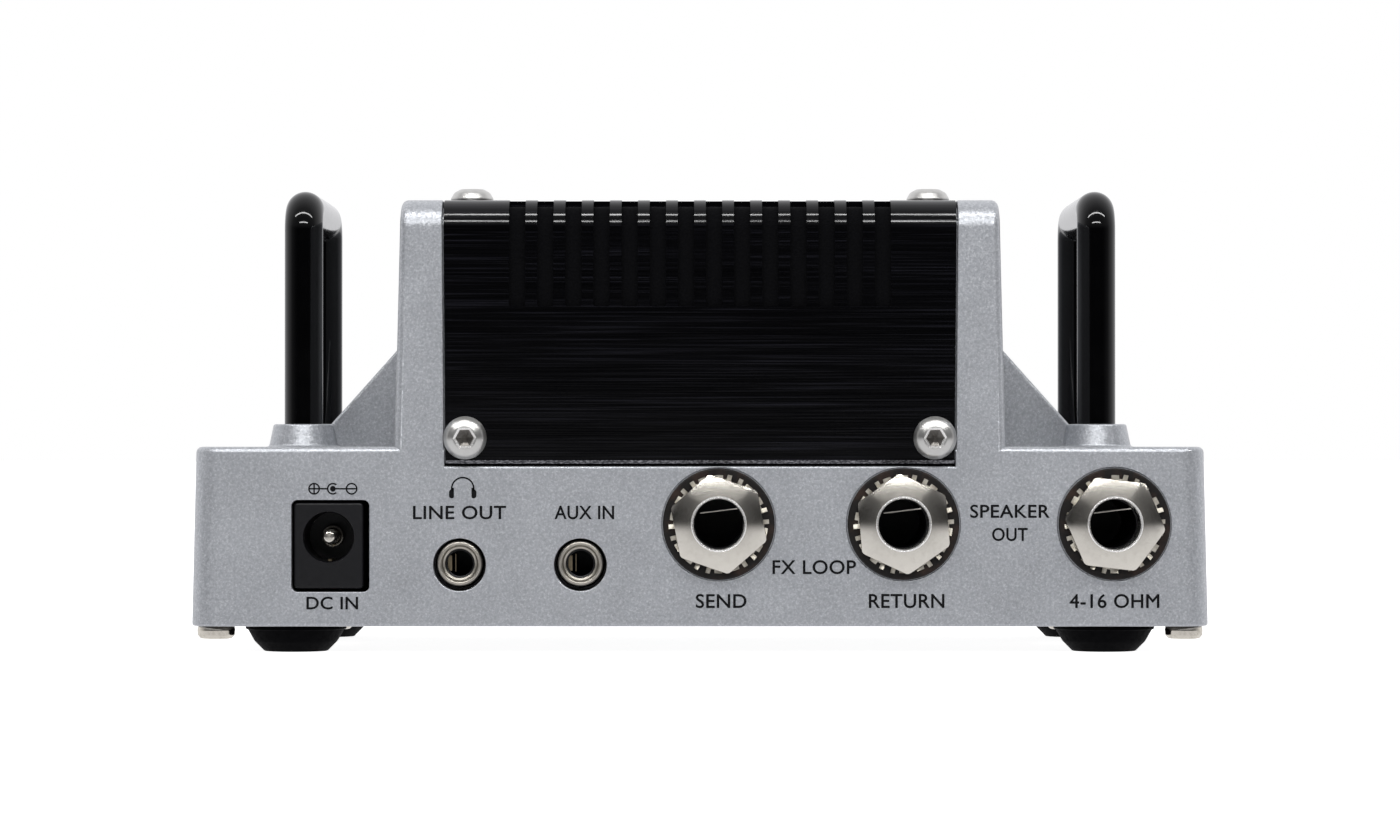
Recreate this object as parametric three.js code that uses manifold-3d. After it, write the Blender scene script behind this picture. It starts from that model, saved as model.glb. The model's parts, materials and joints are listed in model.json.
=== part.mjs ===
// A miniature guitar amplifier head: a die-cast T-shaped housing, a bent and slotted black cover over its
// raised middle, two rod handles, a row of controls in front and a row of sockets behind.
//
// Units are millimetres. +Z is up, the controls face -Y and the sockets face +Y. The origin is on the
// surface that the feet stand on, under the middle of the whole object.
import * as THREE from "three";
import { mergeVertices } from "three/addons/utils/BufferGeometryUtils.js";
import Module from "manifold-3d";

const wasm = await Module();
wasm.setup();

// ---- Driving dimensions ----

const OVERALL = { width: 128, depth: 75 };
const GAP = 0.3; // between pieces that touch on the real object
const NUT_PROUD = 2.1; // socket nuts beyond the rear face
const HOUSING_DEPTH = 62;
const REAR = OVERALL.depth / 2 - NUT_PROUD; // y of the rear face
const FRONT = REAR - HOUSING_DEPTH; // y of the front face
const MIDDLE = (REAR + FRONT) / 2;
const WALL = 2;

const FOOT = { height: 3.35, radius: 6.4, sole: 4, x: 51.3, inset: 8 };
const BASE = { bottom: FOOT.height, top: 25.9, half: OVERALL.width / 2, corner: 3.5, roof: 2.5 };
const TOWER = { top: 57, half: 38.35, inner: 35.6, bend: 3.5, flange: 2.2 };
const DRAFT = 0.024; // sideways taper of the casting for each millimetre of height

const SHEET = 0.8; // thickness of the black cover
const COVER = { half: 32.3, bottom: 23.9, opening: 26, sill: 31 };
const RECESS = { half: COVER.half + 0.4, depth: SHEET + 0.2, bottom: COVER.bottom - 0.35 };
const SLOT = { count: 14, pitch: 3.53, width: 2.06, bottom: 43.5, reach: 6.2 };
const SCREEN = { half: 25.6, bottom: 35, reach: 14, thick: 0.7 };

const HANDLE = { radius: 2.45, x: 50.9, reach: 16.5, top: 58.8, bend: 2.7, foot: 24.7 };
const BOSS = { low: 4.4, high: 3.8, top: 28.8 };
const GUSSET = { toe: 51.2, rise: 1.12, thick: 4 };

const PLATE = { thick: 1.2, half: 62.7, inset: 1.3, corner: 2.4 };
const BASE_SCREW = { x: 61.1, inset: 4.5, shank: 1.25, head: 2.4, headHeight: 1.7, length: 7 };
const COVER_SCREW = { shank: 1.5, head: 2.75, headHeight: 1.65, length: 6, key: 2, keyDepth: 1 };
const COVER_SCREW_AT = { x: 29.45, z: 27, topX: 29, topInset: 9 };

const BOARD = { half: 58, bottom: 6, top: 7.6, inset: 2.6 };

// Quarter-inch sockets. A hex-headed ferrule clamps each one through a toothed washer.
const JACK = { z: 16.2, bore: 3.2, thread: 4.4, side: 6.2, depth: 26, flats: 10.9, rim: 3.6, washer: 6.2 };
const REAR_JACKS = [
  { name: "send_jack", x: -2.35, turn: 38.8 },
  { name: "return_jack", x: -25.5, turn: 28.8 },
  { name: "speaker_jack", x: -51.95, turn: -5.2 },
];
const INPUT_JACK = { name: "input_jack", x: -51.5, turn: 12 };

// 3.5 mm sockets
const MINI_JACK = { z: 11.25, hole: 3.3, holeDrop: 0.15, outer: 2.85, bore: 1.85, side: 4, depth: 12 };
const MINI_JACKS = [
  { name: "line_output_jack", x: 30.15 },
  { name: "aux_input_jack", x: 15 },
];

// Barrel power socket
const DC = { x: 46.6, z: 13.5, half: 4.35, halfHeight: 5.4, depth: 12, bore: 3.15, boreZ: 14.56, pin: 1.05 };
const DC_WINDOW = { x: 46.35, z: 13.45, half: 4.86, halfHeight: 5.77, corner: 1 };

const KNOBS = [
  { name: "gain", x: -32 },
  { name: "bass", x: -16 },
  { name: "middle", x: 0 },
  { name: "treble", x: 16 },
  { name: "volume", x: 32 },
];
const KNOB = { z: 15.4, radius: 5.5, skirt: 6.1, skirtHeight: 1.6, proud: 10.9, gap: 0.6 };
const POT = { half: 4.75, bottom: 7.9, top: 21, depth: 6.7, collar: 3.8, collarProud: 1.5, shaft: 3, bore: 3.2 };

const SWITCH = { x: 50.5, z: 12.8, bushing: 3.1, proud: 3.6, pivot: 0.8, lever: 1.1, reach: 11.2, tilt: 12 };
const LAMP = { x: 50.5, z: 21, radius: 1.5, proud: 0.9 };
const BADGE = { half: 15, bottom: 29.5, top: 38.5, thick: 0.9 };

const FINE = 20; // sides of a circle that shows
const COARSE = 12; // sides of a small or hidden one
const SMALL = 8; // sides of a screw hole
const degrees = THREE.MathUtils.degToRad;

// ---- Materials ----

const finish = (color, roughness, metalness) =>
  new THREE.MeshStandardMaterial({ color, roughness, metalness });
const SILVER_PAINT = finish(0xa9adb5, 0.42, 0.6);
const BLACK_ANODISED = finish(0x0c0c0e, 0.32, 0.7);
const BLACK_LACQUER = finish(0x08080a, 0.08, 0);
const NICKEL = finish(0xd8d4c8, 0.18, 1);
const STAINLESS = finish(0xcfcfcc, 0.2, 1);
const BLACK_PLASTIC = finish(0x17181b, 0.5, 0);
const RUBBER = finish(0x101012, 0.75, 0);
const BLACK_STEEL = finish(0x1c1c1e, 0.55, 0.5);
const BLACK_FELT = finish(0x1b1b1e, 0.95, 0);
const CIRCUIT_BOARD = finish(0x12472b, 0.5, 0);
const BRIGHT_ALUMINIUM = finish(0xc4c6c8, 0.3, 1);
const LAMP_RED = finish(0xc01a12, 0.2, 0);

// ---- Solids: three.js makes every shape, and manifold-3d joins and cuts them ----

function solid(geometry) {
  const bare = new THREE.BufferGeometry();
  bare.setAttribute("position", geometry.getAttribute("position"));
  if (geometry.index) bare.setIndex(geometry.index);
  const merged = mergeVertices(bare, 1e-4);
  return new wasm.Manifold(
    new wasm.Mesh({
      numProp: 3,
      vertProperties: new Float32Array(merged.attributes.position.array),
      triVerts: new Uint32Array(merged.index.array),
    }),
  );
}

function geometryOf(manifold) {
  const mesh = manifold.getMesh();
  const indexed = new THREE.BufferGeometry();
  indexed.setAttribute("position", new THREE.BufferAttribute(mesh.vertProperties, 3));
  indexed.setIndex(new THREE.BufferAttribute(mesh.triVerts, 1));
  const flat = indexed.toNonIndexed();
  flat.computeVertexNormals();
  return flat;
}

const join = (...parts) => parts.reduce((sum, part) => sum.add(part));
const cut = (from, ...tools) => tools.reduce((rest, tool) => rest.subtract(tool), from);

const box = ([x0, x1], [y0, y1], [z0, z1]) =>
  solid(
    new THREE.BoxGeometry(x1 - x0, y1 - y0, z1 - z0).translate((x0 + x1) / 2, (y0 + y1) / 2, (z0 + z1) / 2),
  );

// A cylinder or cone along +Y, from radius a at y0 to radius b at y1.
const coneY = (x, z, [y0, y1], a, b, sides = COARSE) =>
  solid(new THREE.CylinderGeometry(b, a, y1 - y0, sides).translate(x, (y0 + y1) / 2, z));

const rodY = (x, z, span, radius, sides = COARSE) => coneY(x, z, span, radius, radius, sides);

const coneZ = (x, y, [z0, z1], a, b, sides = COARSE) =>
  solid(
    new THREE.CylinderGeometry(b, a, z1 - z0, sides).rotateX(Math.PI / 2).translate(x, y, (z0 + z1) / 2),
  );

const rodZ = (x, y, span, radius, sides = COARSE) => coneZ(x, y, span, radius, radius, sides);

// A profile of [radius, y] pairs turned about the Y axis.
const turnedY = (profile, sides = FINE) =>
  new THREE.LatheGeometry(
    profile.map(([r, y]) => new THREE.Vector2(r, y)),
    sides,
  );

function roundedRectangle(halfWidth, low, high, radius) {
  const shape = new THREE.Shape();
  shape.absarc(halfWidth - radius, high - radius, radius, 0, Math.PI / 2);
  shape.absarc(-halfWidth + radius, high - radius, radius, Math.PI / 2, Math.PI);
  shape.absarc(-halfWidth + radius, low + radius, radius, Math.PI, Math.PI * 1.5);
  shape.absarc(halfWidth - radius, low + radius, radius, Math.PI * 1.5, Math.PI * 2);
  shape.closePath();
  return shape;
}

const extrude = (shape, depth, curveSegments = 3) =>
  new THREE.ExtrudeGeometry(shape, { depth, curveSegments, bevelEnabled: false });

// A shape drawn in (y, z) and drawn out along X, a shape in (x, z) along Y.
function alongX(shape, [x0, x1], curveSegments) {
  const turn = new THREE.Matrix4().makeBasis(
    new THREE.Vector3(0, 1, 0),
    new THREE.Vector3(0, 0, 1),
    new THREE.Vector3(1, 0, 0),
  );
  return extrude(shape, x1 - x0, curveSegments).applyMatrix4(turn).translate(x0, 0, 0);
}

const alongY = (shape, [y0, y1], curveSegments) =>
  extrude(shape, y1 - y0, curveSegments)
    .rotateX(Math.PI / 2)
    .translate(0, y1, 0);

// Narrows a geometry from its sides as it rises, as a casting is to leave its mould.
function drafted(geometry, fromZ) {
  const position = geometry.getAttribute("position");
  for (let i = 0; i < position.count; i++) {
    const x = position.getX(i);
    position.setX(i, x - Math.sign(x) * DRAFT * (position.getZ(i) - fromZ));
  }
  return geometry;
}

const bothSides = [-1, 1];
const leftRight = { "-1": "left", 1: "right" };
const frontRear = { "-1": "front", 1: "rear" };
// y of a point that lies a distance inside the front or the rear face
const inside = (end, distance) => (end > 0 ? REAR - distance : FRONT + distance);

// ---- Housing ----

// The side view of the raised middle, or of the cover on it, a distance inside its outer faces.
function towerProfile(inset, bottom, bend) {
  const [y0, y1, top] = [FRONT + inset, REAR - inset, TOWER.top - inset];
  const shape = new THREE.Shape();
  shape.moveTo(y0, bottom);
  shape.lineTo(y1, bottom);
  shape.lineTo(y1, top - bend);
  shape.absarc(y1 - bend, top - bend, bend, 0, Math.PI / 2);
  shape.absarc(y0 + bend, top - bend, bend, Math.PI / 2, Math.PI);
  shape.lineTo(y0, bottom);
  return shape;
}

function housingOutside() {
  const footprint = roundedRectangle(BASE.half, FRONT, REAR, BASE.corner);
  const base = extrude(footprint, BASE.top - BASE.bottom).translate(0, 0, BASE.bottom);
  const towerFoot = BASE.top - 2;
  const tower = alongX(towerProfile(0, towerFoot, TOWER.bend), [-TOWER.half, TOWER.half]);
  const bosses = bothSides.flatMap((side) =>
    bothSides.map((end) =>
      coneZ(
        side * HANDLE.x,
        MIDDLE + end * HANDLE.reach,
        [BASE.top - 0.5, BOSS.top],
        BOSS.low,
        BOSS.high,
      ),
    ),
  );
  return join(solid(drafted(base, BASE.bottom)), solid(drafted(tower, BASE.top)), ...bosses, ...gussets());
}

// The ribs that brace the raised middle against the shoulders
function gussets() {
  const root = TOWER.inner + 0.9;
  const foot = BASE.top - 1;
  const heightAt = (x) => BASE.top + (GUSSET.toe - x) * GUSSET.rise;
  return bothSides.map((side) => {
    const rib = new THREE.Shape();
    const corners = [
      [root, foot],
      [GUSSET.toe + 1 / GUSSET.rise, foot],
      [root, heightAt(root)],
    ];
    const ordered = side > 0 ? corners : corners.reverse();
    rib.setFromPoints(ordered.map(([x, z]) => new THREE.Vector2(side * x, z)));
    return solid(alongY(rib, [MIDDLE - GUSSET.thick / 2, MIDDLE + GUSSET.thick / 2]));
  });
}

function housingCavities() {
  const roof = BASE.top - BASE.roof;
  const shelf = RECESS.depth + TOWER.flange;
  const hollow = box([-BASE.half + WALL, BASE.half - WALL], [FRONT + WALL, REAR - WALL], [0, roof]);
  const towerHollow = box(
    [-TOWER.inner, TOWER.inner],
    [FRONT + shelf, REAR - shelf],
    [roof - 0.1, TOWER.top - shelf],
  );
  const rebate = solid(
    extrude(roundedRectangle(BASE.half - 1, FRONT + 1, REAR - 1, PLATE.corner + 0.2), 5),
  ).translate([0, 0, BASE.bottom + PLATE.thick + 0.2 - 5]);
  const opening = box([-COVER.opening, COVER.opening], [FRONT - 1, REAR + 1], [COVER.sill, TOWER.top + 1]);
  const around = box([-RECESS.half, RECESS.half], [FRONT - 1, REAR + 1], [RECESS.bottom, TOWER.top + 1]);
  const core = solid(
    alongX(towerProfile(RECESS.depth, 0, TOWER.bend - RECESS.depth), [-RECESS.half - 1, RECESS.half + 1]),
  );
  return [hollow, towerHollow, rebate, opening, cut(around, core)];
}

// Bosses inside the casting that the bottom and the cover screws bite into
function screwBosses() {
  const shelf = RECESS.depth + TOWER.flange;
  return bothSides.flatMap((side) => [
    ...bothSides.map((end) =>
      rodZ(side * BASE_SCREW.x, inside(end, BASE_SCREW.inset), [BASE.bottom + 1.4, 14], 2.5),
    ),
    rodY(side * COVER_SCREW_AT.x, COVER_SCREW_AT.z, [REAR - 7.6, REAR - shelf + 0.5], 2.9),
    rodY(side * COVER_SCREW_AT.x, COVER_SCREW_AT.z, [FRONT + shelf - 0.5, FRONT + 7.6], 2.9),
    rodZ(
      side * COVER_SCREW_AT.topX,
      REAR - COVER_SCREW_AT.topInset,
      [TOWER.top - 7.6, TOWER.top - shelf + 0.5],
      2.9,
    ),
  ]);
}

function housingHoles() {
  const throughRear = [REAR - WALL - 1, REAR + 1];
  const throughFront = [FRONT - 1, FRONT + WALL + 1];
  const coverScrew = COVER_SCREW.shank + GAP;
  const baseScrew = BASE_SCREW.shank + GAP;
  const window = roundedRectangle(DC_WINDOW.half, -DC_WINDOW.halfHeight, DC_WINDOW.halfHeight, DC_WINDOW.corner);
  return [
    ...REAR_JACKS.map((jack) => rodY(jack.x, JACK.z, throughRear, JACK.thread + GAP, FINE)),
    rodY(INPUT_JACK.x, JACK.z, throughFront, JACK.thread + GAP, FINE),
    ...MINI_JACKS.map((jack) =>
      rodY(jack.x, MINI_JACK.z - MINI_JACK.holeDrop, throughRear, MINI_JACK.hole, FINE),
    ),
    solid(alongY(window, throughRear, 2)).translate([DC_WINDOW.x, 0, DC_WINDOW.z]),
    ...KNOBS.map((knob) => rodY(knob.x, KNOB.z, throughFront, POT.collar + 0.4)),
    rodY(SWITCH.x, SWITCH.z, throughFront, SWITCH.bushing + GAP),
    rodY(LAMP.x, LAMP.z, throughFront, LAMP.radius + GAP),
    ...bothSides.flatMap((side) => [
      rodY(side * COVER_SCREW_AT.x, COVER_SCREW_AT.z, [REAR - 9, REAR + 1], coverScrew, SMALL),
      rodY(side * COVER_SCREW_AT.x, COVER_SCREW_AT.z, [FRONT - 1, FRONT + 9], coverScrew, SMALL),
      rodZ(
        side * COVER_SCREW_AT.topX,
        REAR - COVER_SCREW_AT.topInset,
        [TOWER.top - 9, TOWER.top + 1],
        coverScrew,
        SMALL,
      ),
      ...bothSides.flatMap((end) => [
        rodZ(side * BASE_SCREW.x, inside(end, BASE_SCREW.inset), [0, 12], baseScrew, SMALL),
        rodZ(
          side * HANDLE.x,
          MIDDLE + end * HANDLE.reach,
          [HANDLE.foot - GAP, BOSS.top + 1],
          HANDLE.radius + GAP,
        ),
      ]),
    ]),
  ];
}

function housing() {
  const outside = housingOutside();
  const shell = cut(outside, ...housingCavities());
  const bosses = join(...screwBosses()).intersect(outside);
  return cut(join(shell, bosses), ...housingHoles());
}

// ---- Cover, dust screens and badge ----

function cover() {
  const outline = towerProfile(0, COVER.bottom, TOWER.bend);
  const channel = cut(
    solid(alongX(outline, [-COVER.half, COVER.half], 3)),
    solid(alongX(towerProfile(SHEET, 0, TOWER.bend - SHEET), [-COVER.half - 1, COVER.half + 1], 3)),
  );
  const slots = [];
  for (let i = 0; i < SLOT.count; i++) {
    const x = (i - (SLOT.count - 1) / 2) * SLOT.pitch;
    for (const end of bothSides) {
      const span = [inside(end, -1), inside(end, SLOT.reach)].sort((a, b) => a - b);
      slots.push(box([x - SLOT.width / 2, x + SLOT.width / 2], span, [SLOT.bottom, TOWER.top + 1]));
    }
  }
  const clear = COVER_SCREW.shank + GAP;
  const holes = bothSides.flatMap((side) => [
    rodY(side * COVER_SCREW_AT.x, COVER_SCREW_AT.z, [FRONT - 1, REAR + 1], clear, SMALL),
    rodZ(
      side * COVER_SCREW_AT.topX,
      REAR - COVER_SCREW_AT.topInset,
      [TOWER.top - 3, TOWER.top + 1],
      clear,
      SMALL,
    ),
  ]);
  return cut(channel, ...slots, ...holes);
}

// A felt strip lines the cover behind each row of slots, and follows its bend onto the top.
function dustScreen(end) {
  const near = SHEET + GAP;
  const far = near + SCREEN.thick;
  const across = [-SCREEN.half, SCREEN.half];
  const outer = alongX(towerProfile(near, SCREEN.bottom, TOWER.bend - near), across, 3);
  const inner = alongX(towerProfile(far, 0, TOWER.bend - far), [-SCREEN.half - 1, SCREEN.half + 1], 3);
  const kept = [inside(end, 0), inside(end, SCREEN.reach)].sort((a, b) => a - b);
  return cut(solid(outer), solid(inner)).intersect(box(across, kept, [0, TOWER.top]));
}

function badge() {
  const outline = roundedRectangle(BADGE.half, BADGE.bottom, BADGE.top, 1.2);
  return solid(alongY(outline, [FRONT - GAP - BADGE.thick, FRONT - GAP]));
}

// ---- Handles ----

// A round rod bent into a staple: up from one boss, over, and down into the other.
function handleGeometry() {
  const section = new THREE.Shape();
  section.absarc(0, 0, HANDLE.radius, 0, Math.PI * 2);
  const path = new Staple();
  return new THREE.ExtrudeGeometry(section, { steps: path.steps, curveSegments: 6, extrudePath: path });
}

// The handle's centre line. It is sampled evenly in t, so each straight takes one step and each bend four.
class Staple extends THREE.Curve {
  bendSteps = 4;
  steps = 3 + 2 * this.bendSteps;

  getUtoTmapping(u) {
    return u;
  }

  getPoint(t, target = new THREE.Vector3()) {
    const { radius, reach, top, bend, foot } = HANDLE;
    const [shoulder, level] = [reach - bend, top - radius - bend];
    const end = t < 0.5 ? -1 : 1;
    const fromFoot = Math.min(t, 1 - t) * this.steps;
    if (fromFoot < 1) return target.set(0, end * reach, foot + (level - foot) * fromFoot);
    const turned = Math.min((fromFoot - 1) / this.bendSteps, 1) * (Math.PI / 2);
    const past = Math.max(fromFoot - 1 - this.bendSteps, 0) * 2;
    const y = shoulder * (1 - past) + bend * Math.cos(turned);
    return target.set(0, end * y, level + bend * Math.sin(turned));
  }
}

// ---- Underside ----

function bottomPlate() {
  const outline = roundedRectangle(PLATE.half, FRONT + PLATE.inset, REAR - PLATE.inset, PLATE.corner);
  const plate = solid(extrude(outline, PLATE.thick)).translate([0, 0, BASE.bottom]);
  const corners = bothSides.flatMap((side) =>
    bothSides.map((end) =>
      rodZ(side * BASE_SCREW.x, inside(end, BASE_SCREW.inset), [0, 6], BASE_SCREW.shank + GAP, SMALL),
    ),
  );
  const vents = [-25, -15, -5, 5, 15, 25].map((x) => box([x - 1, x + 1], [MIDDLE - 9, MIDDLE + 9], [0, 6]));
  return cut(plate, ...corners, ...vents);
}

const footGeometry = () =>
  turnedY(
    [
      [0, 0],
      [FOOT.sole, 0],
      [FOOT.sole + 0.7, 0.3],
      [FOOT.radius - 0.5, FOOT.height - 0.7],
      [FOOT.radius, FOOT.height - 0.6],
      [FOOT.radius, FOOT.height - 0.05],
      [0, FOOT.height - 0.05],
    ],
    FINE,
  );

// A pan-head screw along -Y: its head's flat side is at y = 0 and its shank runs to negative y.
const panScrewGeometry = () => {
  const { shank, head, headHeight, length } = BASE_SCREW;
  return turnedY(
    [
      [0, -length],
      [shank, -length],
      [shank, GAP / 3],
      [head - 0.1, GAP / 3],
      [head, headHeight * 0.35],
      [head - 0.25, headHeight * 0.8],
      [head - 0.9, headHeight],
      [0, headHeight],
    ],
    COARSE,
  );
};

// A button-head screw with a hexagonal key socket, along -Y like the pan-head one.
function buttonScrew() {
  const { shank, head, headHeight, length, key, keyDepth } = COVER_SCREW;
  const body = turnedY(
    [
      [0, -length],
      [shank, -length],
      [shank, GAP / 3],
      [head - 0.1, GAP / 3],
      [head, 0.3],
      [head * 0.9, headHeight * 0.55],
      [head * 0.68, headHeight * 0.86],
      [head * 0.45, headHeight],
      [0, headHeight],
    ],
    COARSE,
  );
  const socket = new THREE.CylinderGeometry(key / Math.sqrt(3), key / Math.sqrt(3), 2, 6);
  return cut(solid(body), solid(socket.translate(0, headHeight - keyDepth + 1, 0)));
}

// ---- Sockets: each is drawn with its panel at y = 0 and its mouth towards +Y ----

function jackBody() {
  const { side, depth, thread, bore, z } = JACK;
  const back = -WALL - GAP - depth;
  const block = box([-side, side], [back, -WALL - GAP], [POT.bottom - z, side]);
  return cut(
    block,
    rodY(0, 0, [-8.5, 1], thread + GAP),
    rodY(0, 0, [back + 1.3, 1], bore + 0.1, COARSE),
  );
}

// The ferrule: a hexagonal head, dished towards a raised rim, on a threaded nose.
function jackNut(turn) {
  const { thread, bore, flats, rim } = JACK;
  const head = flats / Math.sqrt(3);
  const seat = 1; // the two washers under the head
  const turned = solid(
    turnedY([
      [bore, -8.2],
      [thread, -8.2],
      [thread, seat],
      [head + 0.1, seat],
      [head + 0.1, NUT_PROUD - 0.45],
      [rim + 0.1, NUT_PROUD - 0.12],
      [rim, NUT_PROUD],
      [bore, NUT_PROUD],
      [bore, -8.2],
    ]),
  );
  const hexagon = solid(new THREE.CylinderGeometry(head, head, 4, 6).translate(0, seat + 1, 0));
  const nose = rodY(0, 0, [-9, seat + 0.5], thread + 0.05);
  return turned.intersect(join(hexagon, nose)).rotate([0, turn, 0]);
}

const jackWasherGeometry = () => {
  const { thread, washer } = JACK;
  const inner = thread + GAP;
  return turnedY([
    [inner, 0.1],
    [washer, 0.1],
    [washer, 0.9],
    [inner, 0.9],
    [inner, 0.1],
  ]);
};

function miniJackBody() {
  const { side, depth, outer, z } = MINI_JACK;
  const block = box([-side, side], [-WALL - GAP - depth, -WALL - GAP], [POT.bottom - z, 3.3]);
  return cut(block, rodY(0, 0, [-WALL - 8.6, 1], outer + GAP), rodY(0, 0, [-WALL - depth, 1], MINI_JACK.bore));
}

const miniJackSleeveGeometry = () => {
  const { outer, bore } = MINI_JACK;
  return turnedY(
    [
      [bore, -10],
      [outer, -10],
      [outer, -0.65],
      [outer - 0.35, -0.2],
      [bore + 0.35, -0.2],
      [bore, -0.55],
      [bore, -10],
    ],
    FINE,
  );
};

function dcJackBody() {
  const { x, z, half, halfHeight, depth, bore, boreZ, pin } = DC;
  const [face, back] = [REAR - GAP, REAR - GAP - depth];
  const block = box([x - half, x + half], [back, face], [z - halfHeight, z + halfHeight]);
  return cut(
    block,
    rodY(x, boreZ, [back + 2.5, REAR + 1], bore, FINE),
    rodY(x, boreZ, [back - 1, REAR], pin + GAP, 12),
  );
}

function dcJackPin() {
  const { x, boreZ, depth, pin } = DC;
  const [back, tip] = [REAR - GAP - depth, REAR - 1.2];
  return join(rodY(x, boreZ, [back - 0.2, tip - 0.6], pin, 12), coneY(x, boreZ, [tip - 0.7, tip], pin, 0.45, 12));
}

// ---- Controls: drawn with the panel at y = 0 and the controls towards -Y ----

function pot() {
  const { half, bottom, top, depth, collar, collarProud, bore } = POT;
  const can = box([-half, half], [WALL + GAP, WALL + GAP + depth], [bottom - KNOB.z, top - KNOB.z]);
  return cut(
    join(can, rodY(0, 0, [-collarProud, WALL + 1], collar)),
    rodY(0, 0, [-collarProud - 1, WALL + depth - 0.5], bore),
  );
}

// The shaft has a flat that keys the knob to it.
function potShaft() {
  const { shaft, depth } = POT;
  const round = rodY(0, 0, [-KNOB.proud + 2, WALL + depth - 1], shaft);
  return cut(round, box([-shaft, shaft], [-KNOB.proud, -2.6], [shaft - 0.9, shaft + 1]));
}

function knob() {
  const { radius, skirt, skirtHeight, proud, gap } = KNOB;
  const turned = solid(
    turnedY([
      [0, -proud],
      [radius - 1, -proud],
      [radius - 0.5, -proud + 0.4],
      [radius, -gap - skirtHeight - 0.3],
      [skirt - 0.3, -gap - skirtHeight],
      [skirt, -gap - skirtHeight + 0.4],
      [skirt, -gap],
      [0, -gap],
    ]),
  );
  const flat = box([-4, 4], [-proud + 1.6, -2.9], [POT.shaft - 0.9 + GAP, 5]);
  const socket = cut(rodY(0, 0, [-proud + 1.6, 0], POT.shaft + GAP), flat);
  const collarRoom = rodY(0, 0, [-POT.collarProud - 0.7, 0], POT.collar + 0.7);
  const pointer = box([-0.35, 0.35], [-proud - 1, -proud + 0.5], [1.2, skirt]);
  return cut(turned, socket, collarRoom, pointer);
}

function switchBody() {
  const { bushing, proud } = SWITCH;
  const can = box([-4, 4], [WALL + GAP, 11], [-4.8, 4.8]);
  return cut(
    join(can, rodY(0, 0, [-proud, WALL + 1], bushing)),
    rodY(0, 0, [-0.5, 5], 2.1),
    coneY(0, 0, [-proud - 0.2, -0.3], 2.65, 2.1),
  );
}

// A bat-shaped lever, turned about its pivot, which is at the origin
const leverGeometry = () => {
  const { lever, reach } = SWITCH;
  return turnedY(
    [
      [0, -reach],
      [0.95, -reach + 0.3],
      [1.45, -reach + 1.1],
      [1.5, -reach + 2],
      [lever, -reach + 6.5],
      [lever, -1.6],
      [1.7, -0.8],
      [1.7, 0.8],
      [lever, 1.6],
      [lever * 0.7, 2.2],
      [0, 2.2],
    ],
    COARSE,
  );
};

const lampGeometry = () => {
  const { radius, proud } = LAMP;
  return turnedY(
    [
      [0, -proud],
      [radius * 0.6, -proud + 0.25],
      [radius, 0.2],
      [radius, WALL + GAP],
      [radius + 0.5, WALL + GAP],
      [radius + 0.5, WALL + 1.3],
      [0, WALL + 1.3],
    ],
    COARSE,
  );
};

// ---- Electronics ----

// The board with the parts soldered to it: reservoir capacitors, a coil and the preamplifier chips
function mainBoard() {
  const { half, bottom, top, inset } = BOARD;
  const seat = top - 0.1;
  return join(
    box([-half, half], [FRONT + inset, REAR - inset], [bottom, top]),
    rodZ(-29, -6, [seat, 26], 5),
    rodZ(-17, -6, [seat, 26], 5),
    rodZ(-6, -6, [seat, 20], 4),
    box([-42, -34], [8, 16], [seat, 12]),
    box([4, 12], [10, 16], [seat, 9.4]),
    box([26, 36], [10, 15], [seat, 9.4]),
    box([-18, -10], [8, 14], [seat, 9.2]),
  );
}

// A finned block over the power amplifier chip
function heatSink() {
  const [low, high] = [7.9, 32];
  const block = box([2, 34], [-13, 4], [low, high]);
  const gaps = [-10.2, -6, -1.8].map((y) => box([1, 35], [y, y + 2.6], [low + 4, high + 1]));
  return cut(block, ...gaps);
}

// ---- Assembly ----

const amp = new THREE.Group();
amp.name = "amp_head";

function piece(name, shape, material, parent = amp) {
  const mesh = new THREE.Mesh(shape.isBufferGeometry ? shape : geometryOf(shape), material);
  mesh.name = name;
  parent.add(mesh);
  return mesh;
}

function groupAt(x, y, z, turn = {}) {
  const group = new THREE.Group();
  group.position.set(x, y, z);
  group.rotation.set(turn.x ?? 0, turn.y ?? 0, turn.z ?? 0);
  amp.add(group);
  return group;
}

function addJack({ name, x, turn }, panel, facing) {
  const group = groupAt(x, panel, JACK.z, { z: facing });
  piece(name + "_body", jackBody(), BLACK_PLASTIC, group);
  piece(name + "_nut", jackNut(turn), NICKEL, group);
  piece(name + "_lock_washer", jackWasherGeometry(), NICKEL, group);
}

piece("housing", housing(), SILVER_PAINT);
piece("top_cover", cover(), BLACK_ANODISED);
for (const end of bothSides) piece(frontRear[end] + "_dust_screen", dustScreen(end), BLACK_FELT);
piece("badge_plate", badge(), BRIGHT_ALUMINIUM);
piece("bottom_plate", bottomPlate(), BLACK_STEEL);
piece("main_board", mainBoard(), CIRCUIT_BOARD);
piece("heat_sink", heatSink(), BRIGHT_ALUMINIUM);

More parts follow.
